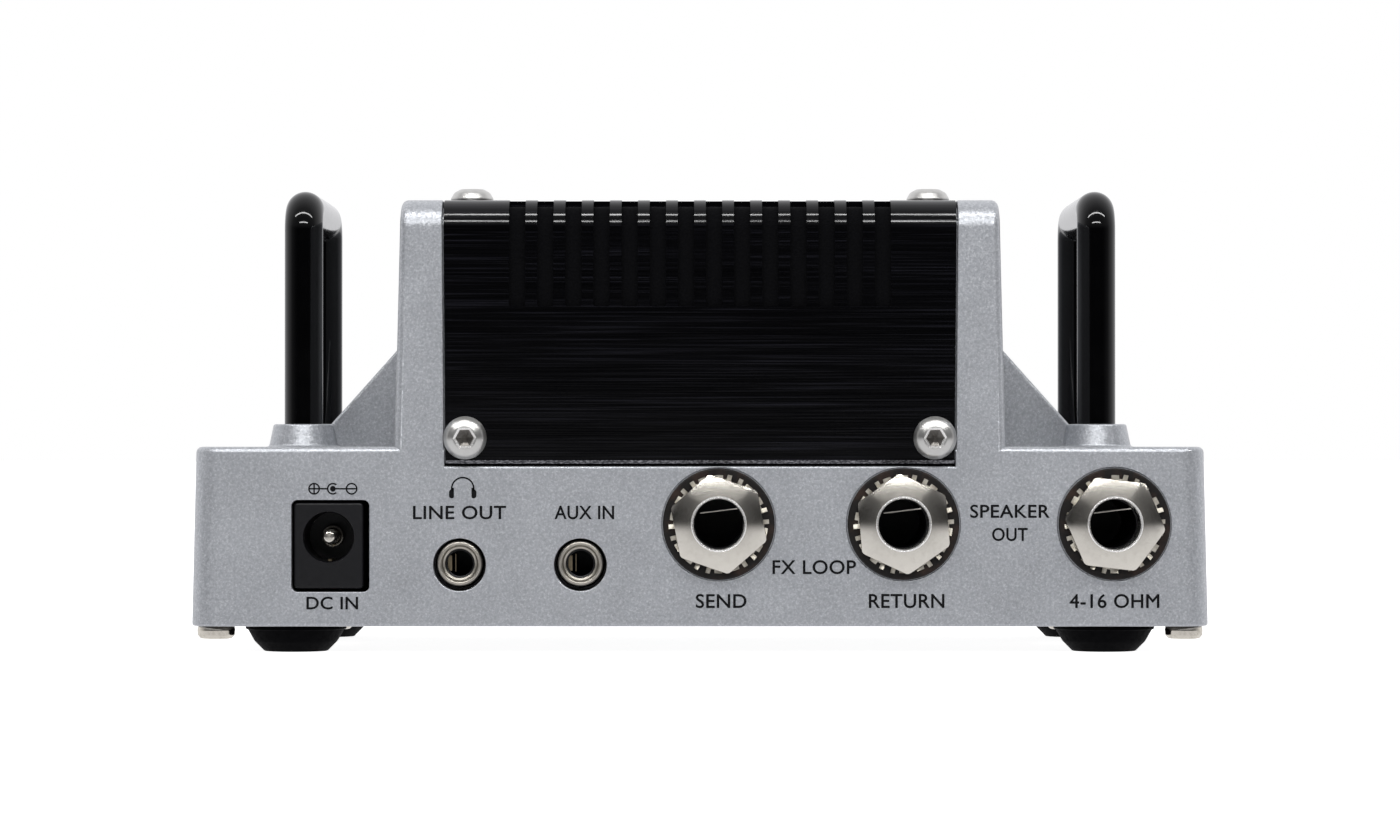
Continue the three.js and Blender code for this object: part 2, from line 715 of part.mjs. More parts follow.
for (const side of bothSides) {
  const handle = piece(leftRight[side] + "_handle", handleGeometry(), BLACK_LACQUER);
  handle.position.set(side * HANDLE.x, MIDDLE, 0);

  for (const end of bothSides) {
    const corner = frontRear[end] + "_" + leftRight[side];
    const foot = groupAt(side * FOOT.x, inside(end, FOOT.inset), 0, { x: Math.PI / 2 });
    piece(corner + "_foot", footGeometry(), RUBBER, foot);

    const bottomScrew = groupAt(side * BASE_SCREW.x, inside(end, BASE_SCREW.inset), BASE.bottom, {
      x: -Math.PI / 2,
    });
    piece(corner + "_bottom_screw", panScrewGeometry(), STAINLESS, bottomScrew);

    const coverScrew = groupAt(side * COVER_SCREW_AT.x, end > 0 ? REAR : FRONT, COVER_SCREW_AT.z, {
      z: end > 0 ? 0 : Math.PI,
    });
    piece(corner + "_cover_screw", buttonScrew(), STAINLESS, coverScrew);
  }

  const topScrew = groupAt(side * COVER_SCREW_AT.topX, REAR - COVER_SCREW_AT.topInset, TOWER.top, {
    x: Math.PI / 2,
  });
  piece("top_" + leftRight[side] + "_cover_screw", buttonScrew(), STAINLESS, topScrew);
}

for (const jack of REAR_JACKS) addJack(jack, REAR, 0);
addJack(INPUT_JACK, FRONT, Math.PI);

for (const { name, x } of MINI_JACKS) {
  const group = groupAt(x, REAR, MINI_JACK.z);
  piece(name + "_body", miniJackBody(), BLACK_PLASTIC, group);
  piece(name + "_sleeve", miniJackSleeveGeometry(), NICKEL, group);
}

piece("dc_jack_body", dcJackBody(), BLACK_PLASTIC);
piece("dc_jack_pin", dcJackPin(), NICKEL);

for (const { name, x } of KNOBS) {
  const group = groupAt(x, FRONT, KNOB.z);
  piece(name + "_pot", pot(), BLACK_STEEL, group);
  piece(name + "_pot_shaft", potShaft(), BRIGHT_ALUMINIUM, group);
  piece(name + "_knob", knob(), BRIGHT_ALUMINIUM, group);
}

piece("power_switch_body", switchBody(), NICKEL, groupAt(SWITCH.x, FRONT, SWITCH.z));
piece(
  "power_switch_lever",
  leverGeometry(),
  NICKEL,
  groupAt(SWITCH.x, FRONT + SWITCH.pivot, SWITCH.z, { x: degrees(SWITCH.tilt) }),
);
piece("power_lamp", lampGeometry(), LAMP_RED, groupAt(LAMP.x, FRONT, LAMP.z));

export default amp;
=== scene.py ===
# A miniature guitar amplifier head, seen from behind: silver die-cast housing, black slotted cover, rod
# handles, sockets at the rear and controls at the front. Lengths are in millimetres until a piece is made.
import json
import math

import bmesh
import bpy
from mathutils import Matrix, Vector

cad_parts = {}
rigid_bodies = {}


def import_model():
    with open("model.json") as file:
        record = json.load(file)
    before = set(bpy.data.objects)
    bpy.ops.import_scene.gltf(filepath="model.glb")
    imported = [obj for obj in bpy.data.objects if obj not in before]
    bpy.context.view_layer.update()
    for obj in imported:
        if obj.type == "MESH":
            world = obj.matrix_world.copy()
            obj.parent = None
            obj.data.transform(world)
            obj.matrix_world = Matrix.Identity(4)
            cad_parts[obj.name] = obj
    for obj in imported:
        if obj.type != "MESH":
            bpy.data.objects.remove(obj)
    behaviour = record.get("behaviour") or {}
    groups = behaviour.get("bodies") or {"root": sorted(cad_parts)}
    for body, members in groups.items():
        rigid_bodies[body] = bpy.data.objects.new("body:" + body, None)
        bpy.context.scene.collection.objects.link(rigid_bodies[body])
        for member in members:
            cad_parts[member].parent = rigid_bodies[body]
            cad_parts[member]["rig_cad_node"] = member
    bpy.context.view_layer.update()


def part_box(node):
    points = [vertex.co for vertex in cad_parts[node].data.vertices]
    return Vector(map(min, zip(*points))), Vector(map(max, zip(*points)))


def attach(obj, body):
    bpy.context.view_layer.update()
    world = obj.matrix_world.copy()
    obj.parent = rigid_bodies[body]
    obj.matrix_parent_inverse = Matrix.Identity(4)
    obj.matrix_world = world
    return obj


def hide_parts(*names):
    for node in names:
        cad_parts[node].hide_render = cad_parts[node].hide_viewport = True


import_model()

MM = 0.001
ROOT = "amp"


def node_box(node):
    """Lowest and highest corner of a CAD node in millimetres."""
    low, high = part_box(node)
    return low / MM, high / MM


def node_centre(node):
    low, high = node_box(node)
    return (low + high) / 2


# ---- Sizes ----

HOUSE_LOW, HOUSE_HIGH = node_box("housing")
FRONT, REAR = HOUSE_LOW.y, HOUSE_HIGH.y
MIDDLE = (FRONT + REAR) / 2
HALF = HOUSE_HIGH.x
BASE_BOTTOM, TOP = HOUSE_LOW.z, HOUSE_HIGH.z
BASE_TOP = 25.9
DRAFT = 0.024  # sideways taper of the casting for each millimetre of height
TOWER_HALF = 38.35
BEND = 3.5
RECESS = 1.0
RECESS_HALF = 32.1
RECESS_BOTTOM = 23.46
COVER_BOTTOM = RECESS_BOTTOM + 0.32
SHEET = 0.8
FELT = 0.6
SLOT_COUNT, SLOT_PITCH, SLOT_WIDTH = 14, 3.53, 2.06
SLOT_BOTTOM, SLOT_REACH = 43.5, 6.2
HANDLE_REACH = 16.5
JACK_HEIGHT, KNOB_HEIGHT, SWITCH_HEIGHT = 16.2, 15.4, 12.8
PLATE_TOP = node_box("bottom_plate")[1].z
CONTROLS = ("gain", "bass", "middle", "treble", "volume")
PHONE_JACKS = (("send_jack", 101), ("return_jack", 95), ("speaker_jack", 113.4), ("input_jack", 100))
MINI_JACKS = ("line_output_jack", "aux_input_jack")
SIDES = {"left": -1, "right": 1}
ENDS = {"front": -1, "rear": 1}
PANELS = {"front": FRONT, "rear": REAR}


def recess_half(z):
    """Half the width of the recess that holds the cover: it widens a little upwards."""
    return RECESS_HALF + 0.28 * (z - 24) / 33


# ---- Drawing in two dimensions ----


def soften(points, closed=False, steps=5):
    """A polyline of (a, b) or (a, b, radius), with an arc in place of each corner that has a radius."""
    path = []
    count = len(points)
    for i, point in enumerate(points):
        here = Vector(point[:2])
        if len(point) == 2 or (not closed and i in (0, count - 1)):
            path.append(here)
            continue
        before, after = (Vector(points[(i + k) % count][:2]) - here for k in (-1, 1))
        half_angle = before.angle(after) / 2
        reach = min(point[2] / math.tan(half_angle), before.length * 0.5, after.length * 0.5)
        start, end = here + before.normalized() * reach, here + after.normalized() * reach
        for k in range(steps + 1):
            t = k / steps
            path.append(start * (1 - t) ** 2 + here * (2 * t * (1 - t)) + end * t**2)
    return path


def rectangle(a0, a1, b0, b1, low_radius, high_radius=None, steps=8):
    """A rectangle with round corners, the same number of points whatever its radii."""
    high_radius = low_radius if high_radius is None else high_radius
    a_middle, b_middle = (a0 + a1) / 2, (b0 + b1) / 2
    path = []
    for turn, (a, b) in enumerate(((a1, b1), (a0, b1), (a0, b0), (a1, b0))):
        radius = max(high_radius if turn < 2 else low_radius, 0.02)
        centre = Vector((a - math.copysign(radius, a - a_middle), b - math.copysign(radius, b - b_middle)))
        for k in range(steps + 1):
            angle = math.radians(90 * (turn + k / steps))
            path.append(centre + radius * Vector((math.cos(angle), math.sin(angle))))
    return path


def shrinking(a0, a1, b0, b1, radius, steps=8):
    """A function that gives this rectangle, smaller on every side by a distance."""

    def outline(shrunk):
        a_span, b_span = (a0 + shrunk, a1 - shrunk), (b0 + shrunk, b1 - shrunk)
        return rectangle(*a_span, *b_span, radius - shrunk, steps=steps)

    return outline


def inset(points, distance):
    """A closed outline moved inwards, which is to the left of the way it runs."""
    moved = []
    count = len(points)
    for i, point in enumerate(points):
        before = (point - points[i - 1]).normalized()
        after = (points[(i + 1) % count] - point).normalized()
        normal = Vector((-before.y - after.y, before.x + after.x))
        if normal.length < 1e-6:
            normal = Vector((-before.y, before.x))
        normal.normalize()
        share = max(normal.dot(Vector((-before.y, before.x))), 0.4)
        moved.append(point + normal * (distance / share))
    return moved


# ---- Solids ----


def around(radius, angle, z=0.0):
    """The point at this radius and angle about the Z axis."""
    return (radius * math.cos(angle), radius * math.sin(angle), z)


def along_x(point, w):
    return (w, point.x, point.y)


def along_y(point, w):
    return (point.x, w, point.y)


def along_z(point, w):
    return (point.x, point.y, w)


def stack(rings, closed=False):
    """Joins rings of as many points each. The ends are capped, or joined to each other if it is closed."""
    bm = bmesh.new()
    rows = [[bm.verts.new(point) for point in ring] for ring in rings]
    pairs = list(zip(rows, rows[1:]))
    if closed:
        pairs.append((rows[-1], rows[0]))
    for lower, upper in pairs:
        for i, j in zip(range(len(lower)), [*range(1, len(lower)), 0]):
            bm.faces.new((lower[i], lower[j], upper[j], upper[i]))
    if not closed:
        bm.faces.new(reversed(rows[0]))
        bm.faces.new(rows[-1])
    bmesh.ops.recalc_face_normals(bm, faces=bm.faces)
    return bm


def filleted(outline, place, span, radii, steps=5):
    """A prism with round edges. outline(inset) gives its section and place(point, w) puts that in space."""
    low, high = span
    quarter = [math.radians(90 * k / steps) for k in range(steps + 1)]
    rings = [(radii[0] * (1 - math.sin(a)), low + radii[0] * (1 - math.cos(a))) for a in quarter]
    rings += [(radii[1] * (1 - math.cos(a)), high - radii[1] * (1 - math.sin(a))) for a in quarter]
    return stack([[place(point, w) for point in outline(shrunk)] for shrunk, w in rings])


def prism(outline, span, place=along_z):
    return stack([[place(point, w) for point in outline] for w in span])


def lathe(profile, sides=64):
    """A profile of (radius, height) turned about Z. One that starts off the axis is closed on itself."""
    bm = bmesh.new()
    rings = []
    for radius, z in profile:
        if radius < 1e-6:
            rings.append([bm.verts.new((0, 0, z))] * sides)
            continue
        rings.append([bm.verts.new(around(radius, 2 * math.pi * k / sides, z)) for k in range(sides)])
    pairs = list(zip(rings, rings[1:]))
    if profile[0][0] > 1e-6:
        pairs.append((rings[-1], rings[0]))
    for lower, upper in pairs:
        for i, j in zip(range(sides), [*range(1, sides), 0]):
            corners = dict.fromkeys((lower[i], lower[j], upper[j], upper[i]))
            if len(corners) > 2:
                bm.faces.new(tuple(corners))
    bmesh.ops.recalc_face_normals(bm, faces=bm.faces)
    return bm


def block(xs, ys, zs):
    return prism([Vector((xs[i], ys[j])) for i, j in ((0, 0), (1, 0), (1, 1), (0, 1))], zs)


def ring_of(sides, section):
    """A ring about Z. section(angle) gives what it looks like there, as a loop of (radius, z)."""
    columns = []
    for k in range(sides):
        angle = 2 * math.pi * k / sides
        columns.append([around(radius, angle, z) for radius, z in section(angle)])
    return stack(zip(*columns), closed=True)


def shifted(bm, x, y, z=0.0):
    bmesh.ops.translate(bm, verts=bm.verts, vec=(x, y, z))
    return bm


def sweep(path, radius, sides=40):
    """A round rod along a path of (y, z) points in the plane x = 0."""
    rings = []
    for i, point in enumerate(path):
        along = (path[min(i + 1, len(path) - 1)] - path[max(i - 1, 0)]).normalized()
        across = Vector((0, -along.y, along.x))
        ring = []
        for k in range(sides):
            x, out, _ = around(radius, 2 * math.pi * k / sides)
            ring.append(Vector((x, point.x, point.y)) + out * across)
        rings.append(ring)
    return stack(rings)


# ---- From solids to pieces ----


def added(name, data):
    obj = bpy.data.objects.new(name, data)
    bpy.context.collection.objects.link(obj)
    return obj


def shape_of(bm):
    """A scratch object that holds a solid, in millimetres."""
    mesh = bpy.data.meshes.new("shape")
    bm.to_mesh(mesh)
    bm.free()
    return added("shape", mesh)


def mesh_of(obj):
    """A mesh of what an object looks like, with its modifiers."""
    bpy.context.view_layer.update()
    return bpy.data.meshes.new_from_object(obj.evaluated_get(bpy.context.evaluated_depsgraph_get()))


def bmesh_of(mesh):
    bm = bmesh.new()
    bm.from_mesh(mesh)
    return bm


def combine(target, tools, operation):
    """A boolean of a scratch object with solids, which are used up."""
    tools = [shape_of(tool) for tool in tools]
    for tool in tools:
        modifier = target.modifiers.new(operation, "BOOLEAN")
        modifier.operation = operation
        modifier.solver = "EXACT"
        modifier.object = tool
    mesh = mesh_of(target)
    target.modifiers.clear()
    target.data = mesh
    for tool in tools:
        bpy.data.objects.remove(tool, do_unlink=True)
    return target


def merged(solids):
    """Several solids that don't touch, as one."""
    whole = bmesh.new()
    for part in solids:
        mesh = bpy.data.meshes.new("part")
        part.to_mesh(mesh)
        part.free()
        whole.from_mesh(mesh)
        bpy.data.meshes.remove(mesh)
    return whole


# Which way a piece that is drawn along +Z faces: the images of its X, Y and Z
FACING = {
    "rear": ((-1, 0, 0), (0, 0, 1), (0, 1, 0)),
    "front": ((1, 0, 0), (0, 0, 1), (0, -1, 0)),
    "up": ((1, 0, 0), (0, 1, 0), (0, 0, 1)),
    "down": ((1, 0, 0), (0, -1, 0), (0, 0, -1)),
}


def piece(name, shape, material, nodes, at=(0, 0, 0), facing="up", body=ROOT, slot=None, smooth=32, crease=0):
    """Makes a named piece of the object from a solid or a scratch object."""
    obj = shape if isinstance(shape, bpy.types.Object) else shape_of(shape)
    obj.name = name
    obj.data.name = name
    obj.data.transform(Matrix.Scale(MM, 4))
    turn = Matrix(FACING[facing]).transposed().to_4x4()
    obj.matrix_world = Matrix.Translation(Vector(at) * MM) @ turn
    obj.data.shade_smooth()
    obj.data.set_sharp_from_angle(angle=math.radians(smooth))
    for edge in obj.data.edges:
        ends = (obj.data.vertices[i].co for i in edge.vertices)
        if all(end.xy.length < crease * MM for end in ends):
            edge.use_edge_sharp = True
    weighted = obj.modifiers.new("normals", "WEIGHTED_NORMAL")
    weighted.keep_sharp = True
    weighted.weight = 90
    obj.data.materials.clear()
    obj.data.materials.append(material)
    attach(obj, body)
    if nodes:
        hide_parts(*([nodes] if isinstance(nodes, str) else nodes))
    return obj


def fitter(name, at, facing):
    """A function that makes the pieces of one fitting, all drawn about the same point."""

    def fit(part, shape, material, nodes=(), slot="nickel", **more):
        return piece(f"{name}_{part}", shape, material, nodes, at, facing, slot=slot, **more)

    return fit


# ---- Materials ----


class Surface:
    """A Principled material and the few patterns that these surfaces are made of."""

    def __init__(self, name, color, roughness, metallic=0.0, **shader):
        self.material = bpy.data.materials.new(name)
        self.material.use_nodes = True
        self.tree = self.material.node_tree
        self.shader = self.tree.nodes["Principled BSDF"]
        self.color = (*color, 1)
        self.roughness = roughness
        self.shader.inputs["Base Color"].default_value = self.color
        self.shader.inputs["Roughness"].default_value = roughness
        self.shader.inputs["Metallic"].default_value = metallic
        for key, value in shader.items():
            self.shader.inputs[key.replace("_", " ")].default_value = value
        self.place = self.node("ShaderNodeTexCoord").outputs["Object"]
        self.normal = None

    def node(self, kind, **settings):
        node = self.tree.nodes.new(kind)
        for key, value in settings.items():
            setattr(node, key, value)
        return node

    def link(self, start, end):
        self.tree.links.new(start, end)

    def noise(self, size, stretch=(1, 1, 1), detail=3.0):
        """Noise with features of about this size in millimetres, drawn out along an axis by a stretch."""
        mapping = self.node("ShaderNodeMapping")
        mapping.inputs["Scale"].default_value = [1 / (size * MM * s) for s in stretch]
        self.link(self.place, mapping.inputs["Vector"])
        noise = self.node("ShaderNodeTexNoise")
        noise.inputs["Scale"].default_value = 1
        noise.inputs["Detail"].default_value = detail
        self.link(mapping.outputs["Vector"], noise.inputs["Vector"])
        return noise.outputs["Fac"]

    def cells(self, size):
        """A random colour for each grain of about this size."""
        cells = self.node("ShaderNodeTexVoronoi")
        cells.inputs["Scale"].default_value = 1 / (size * MM)
        self.link(self.place, cells.inputs["Vector"])
        return cells.outputs["Color"]

    def ranged(self, value, low, high, start=0.3, end=0.7):
        ranged = self.node("ShaderNodeMapRange")
        for key, number in (("From Min", start), ("From Max", end), ("To Min", low), ("To Max", high)):
            ranged.inputs[key].default_value = number
        self.link(value, ranged.inputs["Value"])
        return ranged.outputs["Result"]

    def vary_roughness(self, value, amount):
        rough = self.ranged(value, self.roughness - amount, self.roughness + amount)
        self.link(rough, self.shader.inputs["Roughness"])
        return self

    def vary_color(self, value, other, start=0.3, end=0.7):
        mix = self.node("ShaderNodeMix", data_type="RGBA")
        base = self.shader.inputs["Base Color"]
        if base.is_linked:
            self.link(base.links[0].from_socket, mix.inputs[6])
        else:
            mix.inputs[6].default_value = self.color
        mix.inputs[7].default_value = (*other, 1)
        self.link(self.ranged(value, 0, 1, start, end), mix.inputs[0])
        self.link(mix.outputs[2], base)
        return self

    def bump(self, value, height):
        """Relief of this height in millimetres."""
        bump = self.node("ShaderNodeBump")
        bump.inputs["Strength"].default_value = 1
        bump.inputs["Distance"].default_value = height * MM
        self.link(value, bump.inputs["Height"])
        if self.normal:
            self.link(self.normal, bump.inputs["Normal"])
        self.normal = bump.outputs["Normal"]
        self.link(self.normal, self.shader.inputs["Normal"])
        return self

    def vector(self, operation, first, second=None):
        """A sum on vectors, whose second part may be a constant."""
        node = self.node("ShaderNodeVectorMath", operation=operation)
        self.link(first, node.inputs[0])
        if isinstance(second, bpy.types.NodeSocket):
            self.link(second, node.inputs[1])
        elif second:
            node.inputs["Scale" if operation == "SCALE" else 1].default_value = second
        return node.outputs["Value" if operation == "LENGTH" else "Vector"]

    def flakes(self, size, tilt):
        """Tilts each grain its own way, as the flakes in a metallic paint lie."""
        tilted = self.vector("SCALE", self.vector("SUBTRACT", self.cells(size), (0.5, 0.5, 0.5)), tilt)
        flat = self.node("ShaderNodeNewGeometry").outputs["Normal"]
        self.normal = self.vector("NORMALIZE", self.vector("ADD", tilted, flat))
        self.link(self.normal, self.shader.inputs["Normal"])
        return self

    def turn_grain(self, amount):
        """Spreads reflections outwards from the piece's own Z axis, across the marks of a lathe."""
        self.shader.inputs["Anisotropic"].default_value = amount
        self.shader.inputs["Anisotropic Rotation"].default_value = 0.25
        tangent = self.node("ShaderNodeTangent", direction_type="RADIAL", axis="Z")
        self.link(tangent.outputs[0], self.shader.inputs["Tangent"])
        return self

    def turned(self, pitch, height):
        """Fine rings about the piece's own Z axis, as a lathe leaves them."""
        radius = self.vector("LENGTH", self.vector("MULTIPLY", self.place, (1, 1, 0)))
        noise = self.node("ShaderNodeTexNoise", noise_dimensions="1D")
        noise.inputs["Scale"].default_value = 1 / (pitch * MM)
        noise.inputs["Detail"].default_value = 2
        self.link(radius, noise.inputs["W"])
        return self.bump(noise.outputs["Fac"], height)


def grained(name, color, other, roughness, sizes, relief, limits=(0.3, 0.7), turn=0.0, **shader):
    """A surface with faint stains of another colour, uneven gloss and a fine relief.

    sizes are those of the stains, the gloss (as a size and an amount) and the relief, in millimetres."""
    stains, gloss, fine = sizes
    s = Surface(name, color, roughness, **shader)
    s.vary_color(s.noise(stains), other, *limits)
    if gloss:
        s.vary_roughness(s.noise(gloss[0]), gloss[1])
    if turn:
        s.turn_grain(turn)
    return s.bump(s.noise(fine), relief).material


def metal(name, color, other, roughness, sizes, relief, limits=(0.45, 0.8), turn=0.0):
    return grained(name, color, other, roughness, sizes, relief, limits, turn, metallic=1.0)


def plastic(name, grey, other, roughness, sizes, relief, specular, limits=(0.3, 0.7)):
    """Both colours are a grey and its blue."""
    colors = ((grey[0], *grey), (other[0], *other))
    return grained(name, *colors, roughness, sizes, relief, limits, Specular_IOR_Level=specular)


def paint():
    s = Surface("flake_paint", (0.458, 0.473, 0.503), 0.36, 0.6, Coat_Weight=0.2, Coat_Roughness=0.3)
    s.vary_color(s.cells(0.17), (0.64, 0.655, 0.68), 0.4, 1.0)
    s.vary_color(s.noise(0.35, detail=2), (0.37, 0.385, 0.41), 0.4, 0.75)
    s.vary_roughness(s.noise(6), 0.04)
    s.flakes(0.17, 0.15)
    return s.bump(s.noise(0.3), 0.002).material


def brushed_black():
    s = Surface("brushed_black", (0.0006, 0.0006, 0.0011), 0.11, 0.0, Specular_IOR_Level=0.46)
    hairlines = s.noise(0.16, stretch=(140, 1, 1), detail=5)
    s.vary_color(s.noise(1.2, stretch=(50, 1, 1)), (0.0018, 0.0018, 0.0026), 0.42, 0.75)
    s.vary_color(hairlines, (0.012, 0.012, 0.018), 0.54, 0.8)
    s.vary_roughness(hairlines, 0.04)
    return s.bump(hairlines, 0.004).material


# Lighter streaked metal for the downward chamfer along the cover's lower edge: a painted highlight, standing
# for the light that edge catches.
def painted_edge_highlight():
    s = Surface("painted_highlight_edge", (0.05, 0.05, 0.056), 0.34, 0.6)
    streaks = s.noise(0.16, stretch=(2.5, 1, 1), detail=4)
    s.vary_color(streaks, (0.42, 0.42, 0.45), 0.45, 0.75)
    return s.vary_roughness(streaks, 0.08).material


def gloss_black():
    s = Surface("gloss_black_lacquer", (0.0008, 0.0008, 0.0011), 0.07, 0.0, Specular_IOR_Level=0.4)
    s.vary_roughness(s.noise(3), 0.03)
    return s.bump(s.noise(1.6), 0.004).material


def nickel():
    s = Surface("turned_nickel", (0.77, 0.735, 0.665), 0.175, 1.0)
    s.vary_color(s.noise(0.8), (0.72, 0.685, 0.62), 0.45, 0.8)
    s.vary_roughness(s.noise(0.3), 0.015)
    s.turn_grain(0.97)
    return s.turned(0.12, 0.00012).material


def satin_aluminium(name="turned_aluminium", turned=True):
    s = Surface(name, (0.66, 0.665, 0.68), 0.3, 1.0)
    s.vary_color(s.noise(1.0), (0.58, 0.585, 0.6), 0.45, 0.8)
    if turned:
        s.turn_grain(0.6)
        return s.vary_roughness(s.noise(0.3), 0.03).turned(0.12, 0.001).material
    streaks = s.noise(0.1, stretch=(80, 1, 1))
    return s.vary_roughness(streaks, 0.05).bump(streaks, 0.0012).material


def circuit_board():
    s = Surface("circuit_board", (0.012, 0.085, 0.045), 0.35)
    s.vary_color(s.noise(1.5, stretch=(3, 1, 1)), (0.02, 0.13, 0.07), 0.5, 0.56)
    return s.bump(s.noise(0.4), 0.02).material


PAINT = paint()
BRUSHED_BLACK = brushed_black()
CHAMFER_HIGHLIGHT_PAINT = painted_edge_highlight()
GLOSS_BLACK = gloss_black()
NICKEL = nickel()
TURNED = satin_aluminium()
BRUSHED = satin_aluminium("brushed_aluminium", turned=False)
BOARD = circuit_board()
FELT_BLACK = plastic(
    "black_felt", (0.0022, 0.0028), (0.0042, 0.005), 0.85, (0.25, None, 0.18), 0.03, 0.05, (0.35, 0.7)
)
RUBBER = plastic("black_rubber", (0.0016, 0.002), (0.003, 0.0035), 0.62, (0.8, (0.5, 0.1), 0.12), 0.012, 0.03)
PLASTIC = plastic(
    "moulded_black_plastic", (0.0026, 0.0038), (0.0045, 0.006), 0.4, (0.7, (0.25, 0.07), 0.1), 0.006, 0.3
)
INK = plastic("printing_ink", (0.0018, 0.0024), (0.004, 0.005), 0.5, (0.3, None, 0.2), 0.002, 0.15)
POWDER = plastic(
    "black_powder_coat", (0.016, 0.0175), (0.022, 0.024), 0.5, (1.2, (0.4, 0.08), 0.35), 0.03, 0.5
)
FIBRE = grained(
    "brown_fibre", (0.0075, 0.006, 0.0055), (0.036, 0.02, 0.014), 0.4, (2.2, (0.4, 0.1), 0.15), 0.02,
    (0.5, 0.78), Specular_IOR_Level=0.25,
)
RED = grained(
    "red_lens", (0.42, 0.012, 0.008), (0.55, 0.02, 0.012), 0.1, (0.4, None, 0.5), 0.004,
    Transmission_Weight=0.25, IOR=1.49,
)
STAMPED = metal(
    "stamped_nickel", (0.58, 0.55, 0.48), (0.34, 0.31, 0.26), 0.4, (0.5, (0.3, 0.06), 0.2), 0.006, (0.4, 0.75)
)
DULL_NICKEL = metal(
    "dull_nickel", (0.47, 0.445, 0.395), (0.37, 0.345, 0.305), 0.36, (0.7, (0.3, 0.05), 0.4), 0.001,
    (0.4, 0.8),
)
# A lighter copy of the nickel for narrow rims and chamfers: a painted highlight.
HIGHLIGHT_NICKEL = metal(
    "painted_highlight_nickel", (0.95, 0.94, 0.92), (0.88, 0.87, 0.84), 0.27, (0.7, (0.3, 0.04), 0.4), 0.0005
)
STAINLESS = metal(
    "stainless_screw", (0.64, 0.635, 0.615), (0.57, 0.565, 0.55), 0.32, (0.6, (0.25, 0.03), 0.3), 0.0006,
    turn=0.6,
)
PLATED = metal("plated_screw", (0.66, 0.62, 0.55), (0.5, 0.47, 0.41), 0.14, (0.5, (0.3, 0.04), 0.5), 0.0015)
# A darker metal for the inside of screw sockets: painted shade in the recess.
SOCKET_SHADE_METAL = metal(
    "painted_shade_socket", (0.21, 0.2, 0.185), (0.14, 0.133, 0.123), 0.4, (0.4, (0.2, 0.06), 0.15), 0.003,
    (0.3, 0.7),
)
BRASS = metal(
    "spring_brass", (0.30, 0.25, 0.17), (0.2, 0.165, 0.11), 0.3, (0.4, None, 0.3), 0.004, (0.3, 0.7)
)


# ---- Housing ----


def tower_outline(depth, bottom):
    """The side view of the raised middle, this far inside its outer faces, as (y, z)."""
    return rectangle(FRONT + depth, REAR - depth, bottom, TOP - depth, 0.1, BEND - depth, steps=10)


def base_block():
    def place(point, z):
        x = point.x - math.copysign(DRAFT * (z - BASE_BOTTOM), point.x)
        return (x, point.y, z)

    outline = shrinking(-HALF, HALF, FRONT, REAR, 3.2, steps=10)
    return filleted(outline, place, (BASE_BOTTOM, BASE_TOP), (0.35, 0.75))


def cheek(side):
    inner, outer = 32.0, TOWER_HALF

    def place(point, w):
        share = (w - inner) / (outer - inner)
        leaning = outer - DRAFT * (point.y - BASE_TOP)
        near = recess_half(point.y)
        return (side * (near + (leaning - near) * share), point.x, point.y)

    return filleted(lambda shrunk: tower_outline(shrunk, 20), place, (inner, outer), (0.22, 1.05))


def core():
    return prism(tower_outline(RECESS, 20), (-33, 33), along_x)


def rib(side):
    slope, toe, root, thick = 1.12, 51.2, 35.0, 4.0
    foot, peak = BASE_TOP - 1, BASE_TOP + (toe - root) * slope
    outline = [Vector(c) for c in ((root, foot), (toe + 1 / slope, foot), (root, peak))]

    def place(point, y):
        return (side * point.x, y, point.y)

    span = (MIDDLE - thick / 2, MIDDLE + thick / 2)
    return filleted(lambda shrunk: inset(outline, shrunk), place, span, (0.45, 0.45))


def boss(x, y):
    skirt = [(5.3, 24), (5.0, BASE_TOP - 0.05), (4.42, BASE_TOP + 0.1, 0.4), (3.83, 28.8, 0.35)]
    return shifted(lathe(soften([(0, 24), *skirt, (0, 28.8)]), 56), x, y)


def hole(x, z, radius, facing, flare=0.15, depth=4.0):
    """A tool that drills a panel and rounds the edge of the hole."""
    profile = [(0, -depth), (radius, -depth)]
    for k in range(5):
        angle = math.radians(90 * k / 4)
        profile.append((radius + flare * (1 - math.cos(angle)), -flare * (1 - math.sin(angle))))
    profile += [(radius + flare, 1), (0, 1)]
    bm = lathe(profile, 56)
    bm.transform(facing_matrix(facing, x, z))
    return bm


def facing_matrix(facing, x, z):
    return Matrix.Translation((x, PANELS[facing], z)) @ Matrix(FACING[facing]).transposed().to_4x4()


def power_window():
    outline = shrinking(41.48, 51.22, 7.7, 19.2, 0.75)
    rings = [(0, REAR - 4), (0, REAR - 0.15), (0.05, REAR - 0.04), (0.15, REAR), (0.15, REAR + 1)]
    return stack([[along_y(point, y) for point in outline(-grown)] for grown, y in rings])


def lip(panel, way, radius=0.3):
    """A tool that rounds the lower edge of a recess, drawn as (y, z)."""
    edge, above, inside = panel + way * 0.1, RECESS_BOTTOM + 0.01, panel - way * radius
    outline = [Vector((edge, above)), Vector((inside, above))]
    for k in range(7):
        angle = math.radians(90 - 90 * k / 6)
        y = inside + way * radius * math.cos(angle)
        outline.append(Vector((y, RECESS_BOTTOM - radius * (1 - math.sin(angle)))))
    outline.append(Vector((edge, RECESS_BOTTOM - radius)))
    return prism(outline, (-RECESS_HALF, RECESS_HALF), along_x)


